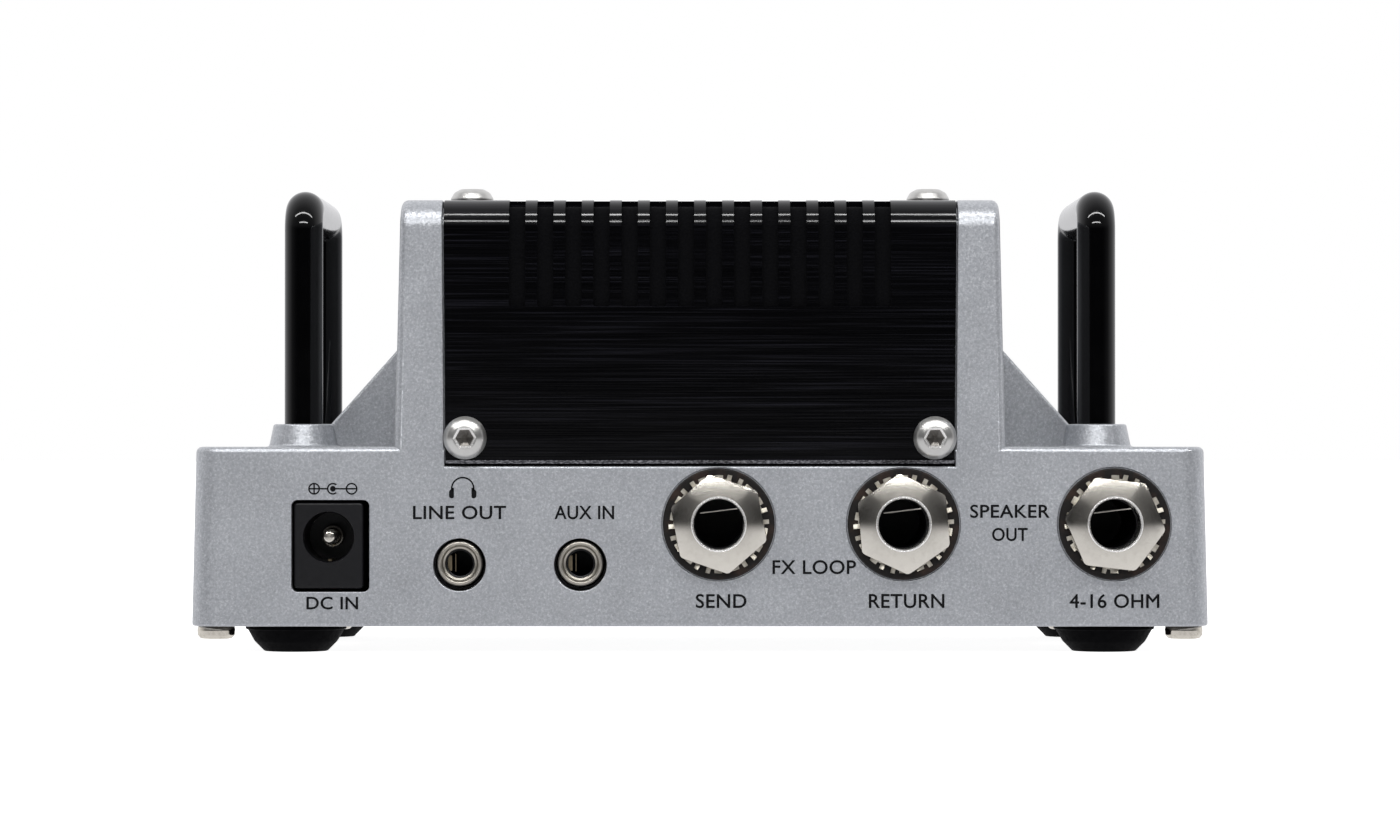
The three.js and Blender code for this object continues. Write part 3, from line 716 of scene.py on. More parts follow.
def make_housing():
    shape = shape_of(base_block())
    across = [node_centre(side + "_handle").x for side in SIDES]
    handles = [(x, MIDDLE + end * HANDLE_REACH) for x in across for end in ENDS.values()]
    added = [cheek(-1), cheek(1), core(), rib(-1), rib(1)] + [boss(x, y) for x, y in handles]
    combine(shape, added, "UNION")
    wall, shelf = 2, RECESS + 2.2
    recess_width, recess_height = (-RECESS_HALF, RECESS_HALF), (RECESS_BOTTOM, BASE_TOP + 0.5)
    plate_seat = rectangle(-62.9, 62.9, FRONT + 1.1, REAR - 1.1, 2.5)
    cavities = [
        block((wall - HALF, HALF - wall), (FRONT + wall, REAR - wall), (-1, 23.4)),
        block((-35.4, 35.4), (FRONT + shelf, REAR - shelf), (23, TOP - shelf)),
        block((-26, 26), (FRONT - 1, REAR + 1), (31, TOP + 2)),
        block(recess_width, (REAR - RECESS, REAR + 1), recess_height),
        block(recess_width, (FRONT - 1, FRONT + RECESS), recess_height),
        lip(REAR, 1),
        lip(FRONT, -1),
        prism(plate_seat, (0, PLATE_TOP + 0.15)),
    ]
    holes = [power_window()]
    for name in MINI_JACKS:
        centre = node_centre(name + "_sleeve")
        holes.append(hole(centre.x, centre.z - 0.15, 3.3, "rear"))
    for name, _ in PHONE_JACKS:
        x = node_centre(name + "_nut").x
        facing = "front" if name == "input_jack" else "rear"
        holes.append(hole(x, JACK_HEIGHT, 4.8, facing))
        holes.append(hole(x, JACK_HEIGHT, 7.12, facing, flare=0.14, depth=0.15))
    for name in CONTROLS:
        holes.append(hole(node_centre(name + "_knob").x, KNOB_HEIGHT, 4.2, "front"))
    switch, lamp = node_centre("power_switch_body"), node_centre("power_lamp")
    holes += [hole(switch.x, SWITCH_HEIGHT, 3.4, "front"), hole(lamp.x, lamp.z, 2.1, "front")]
    for x, y in handles:
        socket = lathe([(0, 24.4), (2.6, 24.4), (2.6, 28.6), (2.75, 28.81), (2.75, 30), (0, 30)], 48)
        holes.append(shifted(socket, x, y))
    combine(shape, cavities + holes, "DIFFERENCE")
    piece("cast_housing", shape, PAINT, "housing", slot="housing_paint", smooth=28)


# ---- Cover and the felt behind its slots ----


def channel_outline(depth, thick, bottom, chamfer=0.0):
    """The section of a bent sheet that wraps the raised middle, as (y, z), anticlockwise."""
    outer = tower_outline(depth, bottom)
    inner = tower_outline(depth + thick, bottom)
    count = len(outer) // 2
    rear, front = REAR - depth, FRONT + depth
    rear_foot = [Vector((rear - chamfer * 0.6, bottom)), Vector((rear, bottom + chamfer))]
    front_foot = [Vector((front, bottom + chamfer)), Vector((front + chamfer * 0.6, bottom))]
    inside = [Vector((front + thick, bottom)), *reversed(inner[:count]), Vector((rear - thick, bottom))]
    return rear_foot + outer[:count] + front_foot + inside


def slot_tools():
    tools = []
    for i in range(SLOT_COUNT):
        x = (i - (SLOT_COUNT - 1) / 2) * SLOT_PITCH
        for near, far in ((REAR - SLOT_REACH, REAR + 1), (FRONT - 1, FRONT + SLOT_REACH)):
            outline = rectangle(x - SLOT_WIDTH / 2, x + SLOT_WIDTH / 2, SLOT_BOTTOM, TOP + 2, 0.22, steps=4)
            tools.append(prism(outline, (near, far), along_y))
    return tools


def make_cover():
    outline = channel_outline(0, SHEET, COVER_BOTTOM, chamfer=0.42)

    def place(point, w):
        return (w * (recess_half(point.y) - 0.17) / 32, point.x, point.y)

    sheet = shape_of(filleted(lambda shrunk: inset(outline, shrunk), place, (-32, 32), (0.1, 0.1), steps=2))
    combine(sheet, [merged(slot_tools())], "DIFFERENCE")
    obj = piece("slotted_cover", sheet, BRUSHED_BLACK, "top_cover", slot="cover_black", smooth=24)
    # The downward chamfer along the sheet's lower edge gets the lighter metal as a painted highlight.
    obj.data.materials.append(CHAMFER_HIGHLIGHT_PAINT)
    for face in obj.data.polygons:
        downward = face.normal.z < -0.3 and abs(face.normal.y) > 0.3
        if downward and face.center.z < (COVER_BOTTOM + 0.7) * MM:
            face.material_index = 1
    # A dark strip closes the gap between the sheet and the wall behind it: painted shade, for a gap that is
    # dark only from shadow.
    half = RECESS_HALF - 0.05
    for end, wall, way in (("rear", REAR - RECESS, 1), ("front", FRONT + RECESS, -1)):
        strip = block((-half, half), (wall, wall + 0.1 * way), (RECESS_BOTTOM, COVER_BOTTOM + 0.3))
        piece(end + "_cover_seal", strip, FELT_BLACK, "top_cover", slot="dust_felt")


def make_felt():
    channel = prism(channel_outline(SHEET + 0.06, FELT, 35), (-25.6, 25.6), along_x)
    shape = shape_of(channel)
    combine(shape, [block((-30, 30), (FRONT + 14, REAR - 14), (0, 70))], "DIFFERENCE")
    for end, away in (("rear", (FRONT - 5, MIDDLE)), ("front", (MIDDLE, REAR + 5))):
        half = shape_of(bmesh_of(shape.data))
        combine(half, [block((-30, 30), away, (0, 70))], "DIFFERENCE")
        piece(end + "_felt_screen", half, FELT_BLACK, end + "_dust_screen", slot="dust_felt")
    bpy.data.objects.remove(shape, do_unlink=True)


def make_badge():
    low, high = node_box("badge_plate")
    half_height, thick = (high.z - low.z) / 2, high.y - low.y
    at = (0, FRONT, (low.z + high.z) / 2)
    outline = shrinking(-15, 15, -half_height, half_height, 1.2)
    plate = shape_of(filleted(outline, along_z, (0.05, thick), (0.05, 0.3)))
    field = filleted(lambda shrunk: outline(shrunk + 0.9), along_z, (thick - 0.25, thick + 0.5), (0.15, 0.05))
    combine(plate, [field], "DIFFERENCE")
    piece("blank_badge", plate, BRUSHED, "badge_plate", at, "front", slot="badge_aluminium")


# ---- Handles ----


def make_handles():
    bend, top, radius, foot = 2.7, 58.8, 2.45, 24.8
    level = top - radius - bend
    half = [Vector((-HANDLE_REACH, foot)), Vector((-HANDLE_REACH, level - 4))]
    for k in range(17):
        y, z, _ = around(bend, math.radians(180 - 90 * k / 16))
        half.append(Vector((bend - HANDLE_REACH + y, level + z)))
    path = half + [Vector((-p.x, p.y)) for p in reversed(half)]
    for side in SIDES:
        x = node_centre(side + "_handle").x
        rod = sweep(path, radius, 48)
        piece(side + "_handle_rod", rod, GLOSS_BLACK, side + "_handle", (x, MIDDLE, 0), slot="handle_lacquer")


# ---- Underside ----


def cross_recess(z, size=0.9):
    """Tools for the cross in a screw head whose top is at z."""
    long, short, deep = (-size, size), (-0.24, 0.24), (z - 0.7, z + 1)
    return [block(long, short, deep), block(short, long, deep)]


def pan_screw(head=2.4, height=1.72, shank=1.2):
    crown = [(head, height * 0.35, 0.3), (head - 0.04, height * 0.7, 0.4), (head - 0.42, height * 0.97, 0.5)]
    stem = [(0, -4), (shank, -4), (shank, 0.02), (head - 0.1, 0.02, 0.3)]
    profile = soften(stem + crown + [(head * 0.3, height, 0.5), (0, height)])
    return combine(shape_of(lathe(profile, 56)), cross_recess(height), "DIFFERENCE")


def make_foot(corner):
    name = corner + "_foot"
    x, y, _ = node_centre(name)
    sole = [(0, 1.0), (2.3, 1.0, 0.1), (2.3, 0, 0.2), (4.0, 0, 0.35), (5.25, 1.25, 1.5)]
    pad = lathe(soften(sole + [(6.1, 2.72, 0.1), (6.38, 2.82, 0.12), (6.38, 3.32), (0, 3.32)]), 72)
    piece(corner + "_rubber_foot", pad, RUBBER, name, (x, y, 0), slot="foot_rubber")
    screw = pan_screw(1.9, 0.7, 1.0)
    piece(corner + "_foot_screw", screw, STAINLESS, (), (x, y, 1.02), "down", slot="screw_steel")


def make_underside():
    low, high = node_box("bottom_plate")
    outline = rectangle(low.x, high.x, low.y, high.y, 2.4)
    plate = filleted(lambda shrunk: inset(outline, shrunk), along_z, (low.z, high.z), (0.2, 0.1), steps=3)
    vents = []
    for x in range(-25, 26, 10):
        vents.append(prism(rectangle(x - 1, x + 1, MIDDLE - 9, MIDDLE + 9, 0.98), (0, 6)))
    shape = combine(shape_of(plate), vents, "DIFFERENCE")
    piece("floor_plate", shape, POWDER, "bottom_plate", slot="plate_steel", smooth=30)
    for corner in (f"{end}_{side}" for end in ENDS for side in SIDES):
        make_foot(corner)
        node = corner + "_bottom_screw"
        centre = node_centre(node)
        at = (centre.x, centre.y, BASE_BOTTOM)
        piece(corner + "_pan_screw", pan_screw(), PLATED, node, at, "down", slot="screw_steel")
    for side, sign in SIDES.items():
        at = (sign * 48, MIDDLE, BASE_BOTTOM)
        piece(side + "_middle_pan_screw", pan_screw(2.2, 1.5), PLATED, (), at, "down", slot="screw_steel")


def hexagon_pocket(radius, bottom, top):
    """A tool for a hexagon socket, with the six-sided point that a punch leaves in its bottom."""
    turns = [math.radians(60 * k + 2) for k in range(6)]
    rings = ((0.06, bottom - 0.5), (1, bottom), (1, top - 0.24), (1.27, top), (1.27, top + 0.5))
    return stack([[around(share * radius, a, z) for a in turns] for share, z in rings])


def button_screw():
    stem = [(0, -4), (1.45, -4), (1.45, 0.03), (2.62, 0.03, 0.1)]
    crown = [(2.74, 0.42, 0.35), (2.28, 1.22, 0.9), (1.5, 1.64, 0.35), (0, 1.64)]
    screw = shape_of(lathe(soften(stem + crown, steps=6), 72))
    return combine(screw, [hexagon_pocket(2.0 / math.sqrt(3), 0.6, 1.64)], "DIFFERENCE")


def make_cover_screws():
    places = [(f"{face}_{side}", face) for side in SIDES for face in ("rear", "front", "top")]
    for corner, face in places:
        node = corner + "_cover_screw"
        centre = node_centre(node)
        at = (centre.x, centre.y, TOP) if face == "top" else (centre.x, PANELS[face], centre.z)
        facing = "up" if face == "top" else face
        name = corner + "_button_screw"
        obj = piece(name, button_screw(), STAINLESS, node, at, facing, slot="screw_steel", crease=1.5)
        # The inside of the hexagon socket gets the darker metal, painted shade.
        obj.data.materials.append(SOCKET_SHADE_METAL)
        # The chamfer round the socket's mouth gets the bright nickel, a painted highlight.
        obj.data.materials.append(HIGHLIGHT_NICKEL)
        for face in obj.data.polygons:
            reach, height = face.center.xy.length, face.center.z
            if reach < 1.2 * MM and 0 < height < 1.35 * MM:
                face.material_index = 1
            elif reach < 1.45 * MM and 0.2 < face.normal.z < 0.9 and height > 0:
                face.material_index = 2


# ---- Sockets, drawn with the panel at z = 0 ----


def on_panel(node, facing):
    centre = node_centre(node)
    return (centre.x, PANELS[facing], centre.z)


def ferrule(corner_angle):
    """A hexagonal head whose turned face slopes outwards from the bore."""
    flats, bore, thread, seat, brow = 5.5, 3.2, 4.4, 1.0, 3.5
    start = math.radians(corner_angle)
    inner = [(bore + 0.06, -8), (bore + 0.06, 1.7), (3.42, 1.74), (brow, 1.84)]

    def face(radius):
        out = radius - brow
        return 1.84 - 0.07 * out - 0.026 * out**2 - 0.3 * max(radius - 5.6, 0) ** 2

    def section(angle):
        away = (angle - start) % (math.pi / 3) - math.pi / 6
        reach = min(flats / math.cos(away), 6.24)
        slope = [brow + share * (reach - brow) for share in (0.04, 0.25, 0.5, 0.7, 0.85, 0.95, 1.0)]
        side = [(reach + 0.03, face(reach) - 0.1), (reach + 0.03, seat), (thread, seat), (thread, -8)]
        return inner + [(radius, face(radius)) for radius in slope] + side

    return ring_of(120, section)


def tooth_washer():
    """A ring with six gaps in its outside. The teeth beside each gap are twisted out of its plane."""

    def section(angle):
        side = abs((math.degrees(angle) + 20) % 60 - 30)
        if side < 4.5 - 1e-6:
            reach, lift = 5.2, 0.0
        elif side < 10 - 1e-6:
            reach, lift = 6.3, 0.34 - 0.06 * (side - 4.5)
        elif side < 15 - 1e-6 or side > 24 + 1e-6:
            reach, lift = 5.7, 0.0
        else:
            reach, lift = 6.15, 0.035 * (side - 15)
        edge = [(reach, 0.5 + lift), (reach, 0.66 + lift)]
        return [(4.5, 0.5), (5.2, 0.5), *edge, (5.2, 0.74), (4.5, 0.74)]

    return ring_of(720, section)


def leaf(width, thick, span, x, y, lean=0.0):
    bm = block((-width / 2, width / 2), (-thick / 2, thick / 2), span)
    bm.transform(Matrix.Translation((x, y, 0)) @ Matrix.Rotation(math.radians(lean), 4, "Z"))
    return bm


def make_phone_jack(name, corner_angle):
    facing = "front" if name == "input_jack" else "rear"
    fit = fitter(name, on_panel(name + "_lock_washer", facing), facing)
    ring = soften([(4.5, 0.02), (6.95, 0.02, 0.05), (7.03, 0.3, 0.15), (6.85, 0.46, 0.1), (4.5, 0.46)])
    fit("fibre_washer", lathe(ring, 96), FIBRE, slot="socket_plastic")
    fit("tooth_washer", tooth_washer(), STAMPED, name + "_lock_washer")
    fit("ferrule", ferrule(corner_angle), NICKEL, name + "_nut", smooth=40)
    # The ferrule's rim takes the bright nickel: a painted highlight along its edge.
    rim = soften([(3.17, -3), (3.17, 1.78), (3.34, 1.98, 0.03), (3.5, 1.82), (3.3, 1.6), (3.3, -3)])
    fit("rim", lathe(rim, 96), HIGHLIGHT_NICKEL, smooth=40)
    lining = lathe([(3.0, -9), (3.17, -9), (3.17, -3.2), (3.05, -3.2)], 64)
    fit("lining", lining, PLASTIC, slot="socket_plastic")
    fit("tip_spring", leaf(4.7, 0.13, (-7.5, -2.6), 0, 1.62, 7), NICKEL)
    dress(name + "_body", PLASTIC)


def make_mini_jack(name):
    fit = fitter(name, on_panel(name + "_sleeve", "rear"), "rear")
    inside = [(1.84, -8), (1.84, -0.95, 0.1), (2.12, -0.85, 0.1), (2.2, -0.42, 0.15)]
    outside = [(2.42, -0.16, 0.2), (2.7, -0.2, 0.2), (2.85, -0.5, 0.2), (2.85, -8)]
    fit("rim", lathe(soften(inside + outside), 72), DULL_NICKEL, name + "_sleeve")
    lining = lathe([(1.62, -9), (1.8, -9), (1.8, -1.5), (1.62, -1.6)], 48)
    fit("lining", lining, PLASTIC, slot="socket_plastic")
    fit("contact", leaf(0.5, 1.9, (-6, -2.2), -1.3, 0), BRASS)
    fit("spring", leaf(0.1, 2.2, (-6, -3.0), -0.62, 0.05), BRASS)
    dress(name + "_body", PLASTIC)


def make_power_jack():
    low, high = node_box("dc_jack_body")
    pin = node_centre("dc_jack_pin")
    middle = (low + high) / 2
    half, tall = (high.x - low.x) / 2, (high.z - low.z) / 2
    outline = shrinking(-half, half, -tall, tall, 0.5)
    body = shape_of(filleted(outline, along_z, (-12, -0.3), (0.1, 0.32)))
    bore = lathe([(0, -9.5), (3.1, -9.5), (3.1, -0.55), (3.22, -0.3), (3.22, 1), (0, 1)], 72)
    slit = block((-0.3, 0.3), (-3.6, -2.6), (-9.5, -1.6))
    combine(body, [shifted(tool, middle.x - pin.x, pin.z - middle.z) for tool in (bore, slit)], "DIFFERENCE")
    at = (middle.x, REAR, middle.z)
    piece("power_jack_body", body, PLASTIC, "dc_jack_body", at, "rear", slot="socket_plastic")
    fit = fitter("power_jack", (pin.x, REAR, pin.z), "rear")
    tip = soften([(0, -9), (0.92, -9), (0.92, -1.6, 0.3), (0.62, -1.22, 0.25), (0, -1.2)], steps=6)
    fit("pin", lathe(tip, 48), NICKEL, "dc_jack_pin")
    collar = soften([(1.05, -8.9), (1.42, -8.9), (1.42, -7.1, 0.1), (1.25, -7.0, 0.05), (1.05, -7.1)])
    fit("collar", lathe(collar, 48), NICKEL)
    fit("contact", leaf(0.45, 0.25, (-8.8, -2.6), 0, -2.95), BRASS)


# ---- Controls ----


def make_knob(name):
    node = name + "_knob"
    count, deepest = 48 * 4, 0.22
    skirt = [(0.65, 6.0), (1.0, 6.1), (1.9, 6.1), (2.2, 5.85), (2.3, 5.55), (2.5, 5.5, deepest)]
    crown = [(9.6, 5.42, deepest), (9.95, 5.35), (10.3, 5.25), (10.65, 5.0), (10.8, 4.7)]
    rows = []
    for z, radius, *groove in skirt + crown + [(10.78, 4.55), (10.62, 4.4)]:
        shares = [1 if k % 4 == 2 else 0.45 if k % 2 else 0 for k in range(count)]
        radii = [radius - sum(groove) * share for share in shares]
        rows.append([around(radii[k], 2 * math.pi * k / count, z) for k in range(count)])
    shape = shape_of(stack(rows))
    room = lathe([(0, 0), (4.6, 0), (4.6, 2.2), (3.3, 2.3), (3.3, 8.8), (0, 8.8)], 64)
    pointer = block((-0.42, 0.42), (1.0, 7), (10.2, 12))
    side_line = block((-0.42, 0.42), (5.05, 7), (2.9, 12))
    combine(shape, [room, pointer, side_line], "DIFFERENCE")
    fit = fitter(name, on_panel(node, "front"), "front")
    fit("fluted_knob", shape, TURNED, node, "knob_aluminium", body=node, smooth=38)
    width = (-0.38, 0.38)
    line = merged([block(width, (1.05, 5.0), (10.1, 10.52)), block(width, (5.0, 5.28), (2.95, 10.2))])
    fit("pointer", line, INK, (), "pot_case", body=node)
    dress(name + "_pot", POWDER)
    dress(name + "_pot_shaft", TURNED)


def threads(radius, depth, start, end, pitch=0.5):
    profile = []
    z = start
    while z + pitch <= end + 1e-6:
        profile += [(radius, z + 0.02), (radius - depth, z + pitch / 2), (radius, z + pitch - 0.02)]
        z += pitch
    return profile


def make_switch():
    low, _ = node_box("power_switch_body")
    fit = fitter("switch", (node_centre("power_switch_body").x, FRONT, SWITCH_HEIGHT), "front")
    proud = FRONT - low.y
    thread = threads(3.05, 0.22, 0.0, proud - 0.2)
    barrel = [(2.3, -5), (3.05, -5), *thread, (2.95, proud), (2.62, proud), (2.1, 0.3)]
    fit("bushing", lathe(barrel, 56), NICKEL, "power_switch_body")
    washer = soften([(3.15, 0.05), (4.6, 0.05, 0.08), (4.6, 0.42, 0.12), (3.15, 0.42)])
    fit("washer", lathe(washer, 64), STAMPED)
    hexagon = [Vector(around(8 / math.sqrt(3), math.radians(10 + 60 * k))[:2]) for k in range(6)]
    nut = shape_of(prism(hexagon, (0.45, 2.0)))
    rounding = lathe([(0, 0), (4.3, 0), (4.72, 0.6), (4.72, 1.75), (4.1, 2.1), (0, 2.1)], 64)
    combine(nut, [rounding], "INTERSECT")
    combine(nut, [lathe([(0, -1), (3.1, -1), (3.1, 3), (0, 3)], 56)], "DIFFERENCE")
    fit("nut", nut, NICKEL)
    fit("seal", lathe([(0, -0.3), (2.1, -0.3), (2.1, -0.1), (0, -0.1)], 40), RUBBER, slot="foot_rubber")


def make_lever():
    ball = [(0, -2.0), (0.8, -2.0, 0.2), (1.05, -1.5, 0.2), (1.65, -0.8, 0.5), (1.65, 0.8, 0.5)]
    bat = [(1.08, 1.6, 0.4), (1.12, 5.2, 1.0), (1.5, 8.9, 1.2), (1.42, 10.5, 0.9), (0.7, 11.12, 0.4)]
    lever = lathe(soften(ball + bat + [(0, 11.15)]), 56)
    lever.transform(Matrix.Rotation(math.radians(12), 4, "X"))
    at = (node_centre("power_switch_lever").x, FRONT + 0.8, SWITCH_HEIGHT)
    piece("switch_bat", lever, NICKEL, "power_switch_lever", at, "front", body="switch_lever", slot="nickel")


def make_lamp():
    fit = fitter("lamp", on_panel("power_lamp", "front"), "front")
    lens = soften([(0, -1), (1.45, -1), (1.45, 0.15, 0.2), (1.2, 0.62, 0.5), (0.5, 0.88, 0.5), (0, 0.9)])
    fit("lens", lathe(lens, 48), RED, "power_lamp", "lamp_red")
    flange = [(1.98, 0.02), (2.35, 0.04, 0.1), (2.3, 0.28, 0.15), (1.6, 0.42, 0.15)]
    bezel = soften([(1.5, -1.5), (1.95, -1.5), *flange, (1.5, 0.3)])
    fit("bezel", lathe(bezel, 56), NICKEL)


# ---- Print ----


def letters(text, cap, width=None):
    """Text as a thin solid, centred, with capitals this tall and squeezed or spread to a width."""
    curve = bpy.data.curves.new("letters", "FONT")
    curve.body = text
    curve.size = 10
    curve.resolution_u = 4
    curve.extrude = 0.06
    curve.space_character = 1.04
    obj = added("letters", curve)
    mesh = mesh_of(obj)
    bpy.data.objects.remove(obj, do_unlink=True)
    bm = bmesh_of(mesh)
    bpy.data.meshes.remove(mesh)
    bmesh.ops.remove_doubles(bm, verts=bm.verts, dist=1e-4)
    low = Vector([min(v.co[i] for v in bm.verts) for i in range(3)])
    high = Vector([max(v.co[i] for v in bm.verts) for i in range(3)])
    tall = cap / (high.y - low.y)
    wide = tall if width is None else width / (high.x - low.x)
    bm.transform(Matrix.Diagonal((wide, tall, 0.15, 1)) @ Matrix.Translation(-(low + high) / 2))
    heavier = []
    for k, (x, y) in enumerate(((0.04, 0), (-0.04, 0), (0, 0.035), (0, -0.035))):
        heavier.append(shifted(bm.copy(), x, y, 0.0006 * k))
    bm.free()
    return merged(heavier)


def print_on(facing, name, shape, x, z):
    y = PANELS[facing] + ENDS[facing] * 0.012
    piece("print_" + name, shape, INK, (), (x, y, z), facing, smooth=20)


def arc_band(radius, width, start, end, steps=28):
    """A flat band along an arc, as a thin solid."""
    inner, outer = [], []
    for k in range(steps + 1):
        direction = Vector(around(1, math.radians(start + (end - start) * k / steps))[:2])
        inner.append(direction * (radius - width / 2))
        outer.append(direction * (radius + width / 2))
    return flat_solid(outer + inner[::-1])


def flat_solid(outline):
    return prism(outline, (-0.009, 0.009))


def bar(x0, x1, y, width=0.16):
    return flat_solid(rectangle(x0, x1, y - width / 2, y + width / 2, 0.02, steps=1))


def polarity_sign():
    """Plus, a centre contact in its sleeve, minus: joined by a line."""
    gap, ring, line, arm = 2.35, 0.65, 0.19, 0.58
    upright = flat_solid(rectangle(-line / 2, line / 2, -arm, arm, 0.02, steps=1))
    plus, minus = ([closed_ring(ring, line), bar(-arm, arm, 0, line)] for _ in range(2))
    centre = [
        bar(-gap + 0.72, -0.72, 0, line),
        arc_band(ring, line, 48, 312),
        flat_solid(rectangle(-0.36, 0.36, -0.36, 0.36, 0.36, steps=6)),
        bar(0.3, gap - 0.72, 0, line),
    ]
    left = [shifted(mark, -gap, 0) for mark in (*plus, upright)]
    return merged(left + centre + [shifted(mark, gap, 0) for mark in minus])


def closed_ring(radius, width):
    low, high = radius - width / 2, radius + width / 2
    return lathe([(low, -0.009), (high, -0.009), (high, 0.009), (low, 0.009)], 40)


def headphone_sign():
    cup = [(0, -0.65, 0.3), (0.62, -0.55, 0.35), (0.62, 0.3, 0.4), (0.2, 0.72, 0.3), (0, 0.72, 0.1)]
    cup = soften(cup, closed=True)
    cups = [flat_solid([Vector((side * (p.x + 1.1), p.y - 0.62)) for p in cup]) for side in (-1, 1)]
    return merged([arc_band(1.38, 0.2, -12, 192), *cups])


def make_rear_print():
    line_out, aux = (node_centre(name + "_sleeve").x for name in MINI_JACKS)
    send, back, speaker = (node_centre(name + "_lock_washer").x for name, _ in PHONE_JACKS[:3])
    power = node_centre("dc_jack_body").x
    captions = (
        ("line_out", "LINE OUT", line_out, 17.65, 1.66, 11.6),
        ("aux_in", "AUX IN", aux - 0.5, 17.65, 1.66, 7.4),
        ("dc_in", "DC IN", power - 0.5, 6.3, 1.56, 6.4),
        ("send", "SEND", send - 0.3, 6.55, 1.72, 6.3),
        ("return", "RETURN", back - 0.4, 6.55, 1.72, 9.4),
        ("loop", "FX LOOP", (send + back) / 2 - 0.4, 10.8, 1.72, 10.4),
        ("speaker", "SPEAKER", speaker + 13.1, 17.8, 1.62, 9.9),
        ("speaker_out", "OUT", speaker + 13.1, 14.9, 1.62, 4.4),
        ("load", "4-16 OHM", speaker, 6.55, 1.72, 11.2),
    )
    for name, text, x, z, cap, width in captions:
        print_on("rear", name, letters(text, cap, width), x, z)
    print_on("rear", "polarity", polarity_sign(), power - 0.57, 20.63)
    print_on("rear", "headphones", headphone_sign(), line_out - 0.4, 20.65)


def make_front_print():
    line, cap = 6.6, 1.35
    for name in CONTROLS:
        centre = node_centre(name + "_knob")
        print_on("front", name, letters(name.upper(), cap), centre.x, line)
        ticks = []
        for k in range(11):
            tick = flat_solid(rectangle(6.65, 7.45 if k % 5 else 7.75, -0.11, 0.11, 0.02, steps=1))
            tick.transform(Matrix.Rotation(math.radians(240 - 30 * k), 4, "Z"))
            ticks.append(tick)
        print_on("front", name + "_dial", merged(ticks), centre.x, centre.z)
    print_on("front", "input", letters("INPUT", cap), node_centre("input_jack_lock_washer").x, line)
    switch = node_centre("power_switch_lever").x
    print_on("front", "power", letters("POWER", cap), switch, line)
    print_on("front", "on", letters("ON", 1.2), switch - 6.2, 14.6)
    print_on("front", "off", letters("OFF", 1.2), switch - 6.2, 11.0)


# ---- Everything ----


def dress(node, material):
    """Gives a CAD node that is shown as it is a better material."""
    for obj in bpy.context.scene.objects:
        if obj.get("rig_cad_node") == node:
            obj.data.materials.clear()
            obj.data.materials.append(material)


make_housing()
make_cover()
make_felt()
make_badge()
make_handles()
make_underside()
make_cover_screws()
for jack_name, jack_turn in PHONE_JACKS:
    make_phone_jack(jack_name, jack_turn)
for jack_name in MINI_JACKS:
    make_mini_jack(jack_name)
make_power_jack()
for control in CONTROLS:
    make_knob(control)
make_switch()
make_lever()
make_lamp()
make_rear_print()
make_front_print()
dress("main_board", BOARD)
dress("heat_sink", BRUSHED)


# ---- Studio ----


def make_floor():
    """A pale floor that only the camera sees. The object sees the world's lower half instead."""
    mesh = bpy.data.meshes.new("floor")
    reach = 8.0
    corners = [(-reach, -reach, 0), (reach, -reach, 0), (reach, reach, 0), (-reach, reach, 0)]
    mesh.from_pydata(corners, [], [(0, 1, 2, 3)])
    floor = added("floor", mesh)
    s = Surface("studio_floor", (0.80, 0.80, 0.80), 0.9)
    s.vary_color(s.noise(40), (0.82, 0.82, 0.82))
    s.shader.inputs["Emission Color"].default_value = (1, 1, 1, 1)
    s.shader.inputs["Emission Strength"].default_value = 0.93
    mesh.materials.append(s.material)
    floor.visible_diffuse = False
    floor.visible_glossy = False


def make_light(name, elevation, azimuth, distance, size, radiance):
    """A rectangular softbox that faces the object. Azimuth 0 is the rear, and positive is towards +X."""
    target = Vector((0, 0, 0.03))
    up, side = math.radians(elevation), math.radians(azimuth)
    away = Vector((math.cos(up) * math.sin(side), math.cos(up) * math.cos(side), math.sin(up)))
    data = bpy.data.lights.new(name, "AREA")
    data.shape = "RECTANGLE"
    data.size, data.size_y = size
    data.energy = radiance * math.pi * size[0] * size[1]
    light = added(name, data)
    light.location = target + away * distance
    light.rotation_euler = away.to_track_quat("Z", "Y").to_euler()
    light.visible_camera = False


def grey_ramp(tree, value, stops, tint=1.0):
    """Greys along a value that runs from -1 to 1, with stops of (value, grey). tint is for their blue."""
    spread = tree.nodes.new("ShaderNodeMapRange")
    spread.inputs["From Min"].default_value = -1
    tree.links.new(value, spread.inputs["Value"])
    node = tree.nodes.new("ShaderNodeValToRGB")
    elements = node.color_ramp.elements
    for i, (at, grey) in enumerate(stops):
        stop = elements[i] if i < 2 else elements.new(0.5 + at / 2)
        stop.position = 0.5 + at / 2
        stop.color = (grey, grey, grey * tint, 1)
    tree.links.new(spread.outputs["Result"], node.inputs["Fac"])
    return node.outputs["Color"]


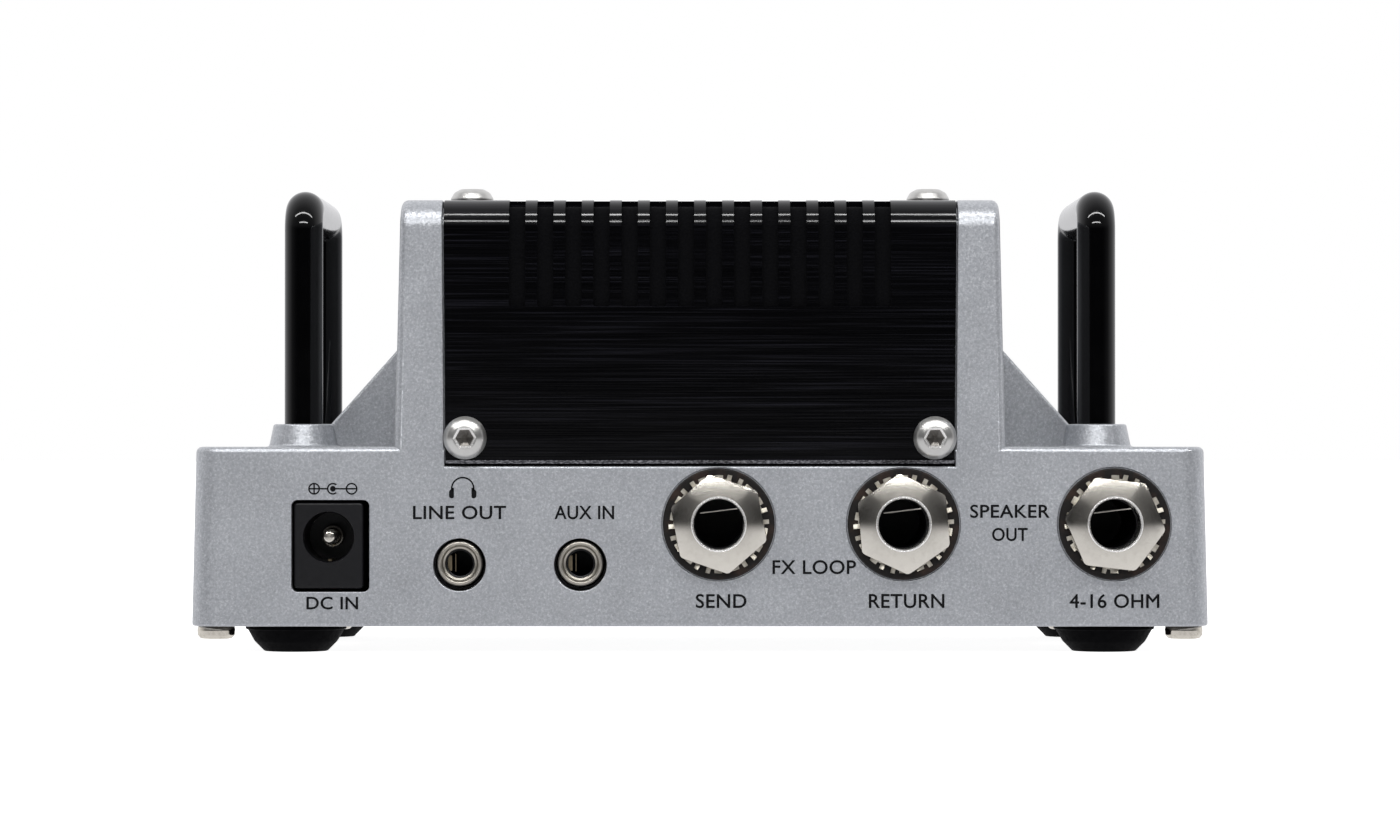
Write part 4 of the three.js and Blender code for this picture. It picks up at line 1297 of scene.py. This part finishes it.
def make_world():
    """White to the camera. For light and reflections: a white backdrop beyond the object's front, and on
    the rear side dark at the horizon and overhead, and bright below."""
    world = bpy.data.worlds.new("studio")
    bpy.context.scene.world = world
    world.use_nodes = True
    tree = world.node_tree
    nodes, link = tree.nodes, tree.links.new
    nodes.clear()
    split = nodes.new("ShaderNodeSeparateXYZ")
    link(nodes.new("ShaderNodeTexCoord").outputs["Generated"], split.inputs[0])
    below = [(-1, 0.82), (-0.4, 0.82), (-0.08, 0.8), (-0.01, 0.02)]
    above = [(0.12, 0.02), (0.28, 0.14), (0.6, 0.15), (1, 0.25)]
    levels = grey_ramp(tree, split.outputs["Z"], below + above, 1.03)
    shares = ((-1, 1), (-0.45, 1), (0, 0.6), (0.35, 0.16), (0.7, 0.03), (0.85, 0), (1, 0))
    backdrop = nodes.new("ShaderNodeMix")
    backdrop.data_type = "RGBA"
    link(grey_ramp(tree, split.outputs["Y"], shares), backdrop.inputs[0])
    link(levels, backdrop.inputs[6])
    backdrop.inputs[7].default_value = (0.95, 0.95, 0.97, 1)
    light = nodes.new("ShaderNodeBackground")
    link(backdrop.outputs[2], light.inputs["Color"])
    seen = nodes.new("ShaderNodeBackground")
    seen.inputs["Color"].default_value = (1, 1, 1, 1)
    mix = nodes.new("ShaderNodeMixShader")
    link(nodes.new("ShaderNodeLightPath").outputs["Is Camera Ray"], mix.inputs["Fac"])
    link(light.outputs[0], mix.inputs[1])
    link(seen.outputs[0], mix.inputs[2])
    link(mix.outputs[0], nodes.new("ShaderNodeOutputWorld").inputs["Surface"])


def make_camera():
    """Behind the object, a hand's breadth above the floor, looking level with a long lens."""
    data = bpy.data.cameras.new("camera")
    data.lens = 121
    data.sensor_width = 36
    data.clip_start, data.clip_end = 0.05, 30
    camera = added("camera", data)
    camera.location = (0, (REAR + 590) * MM, 25.8 * MM)
    camera.rotation_euler = (math.radians(90.335), 0, math.pi)
    bpy.context.scene.camera = camera


make_floor()
make_world()
make_camera()
make_light("high_strip", 54, 0, 0.9, (1.8, 0.055), 22.0)
make_light("low_strip", 26, 0, 0.9, (0.78, 0.038), 24.0)
bpy.context.scene.view_settings.view_transform = "Standard"
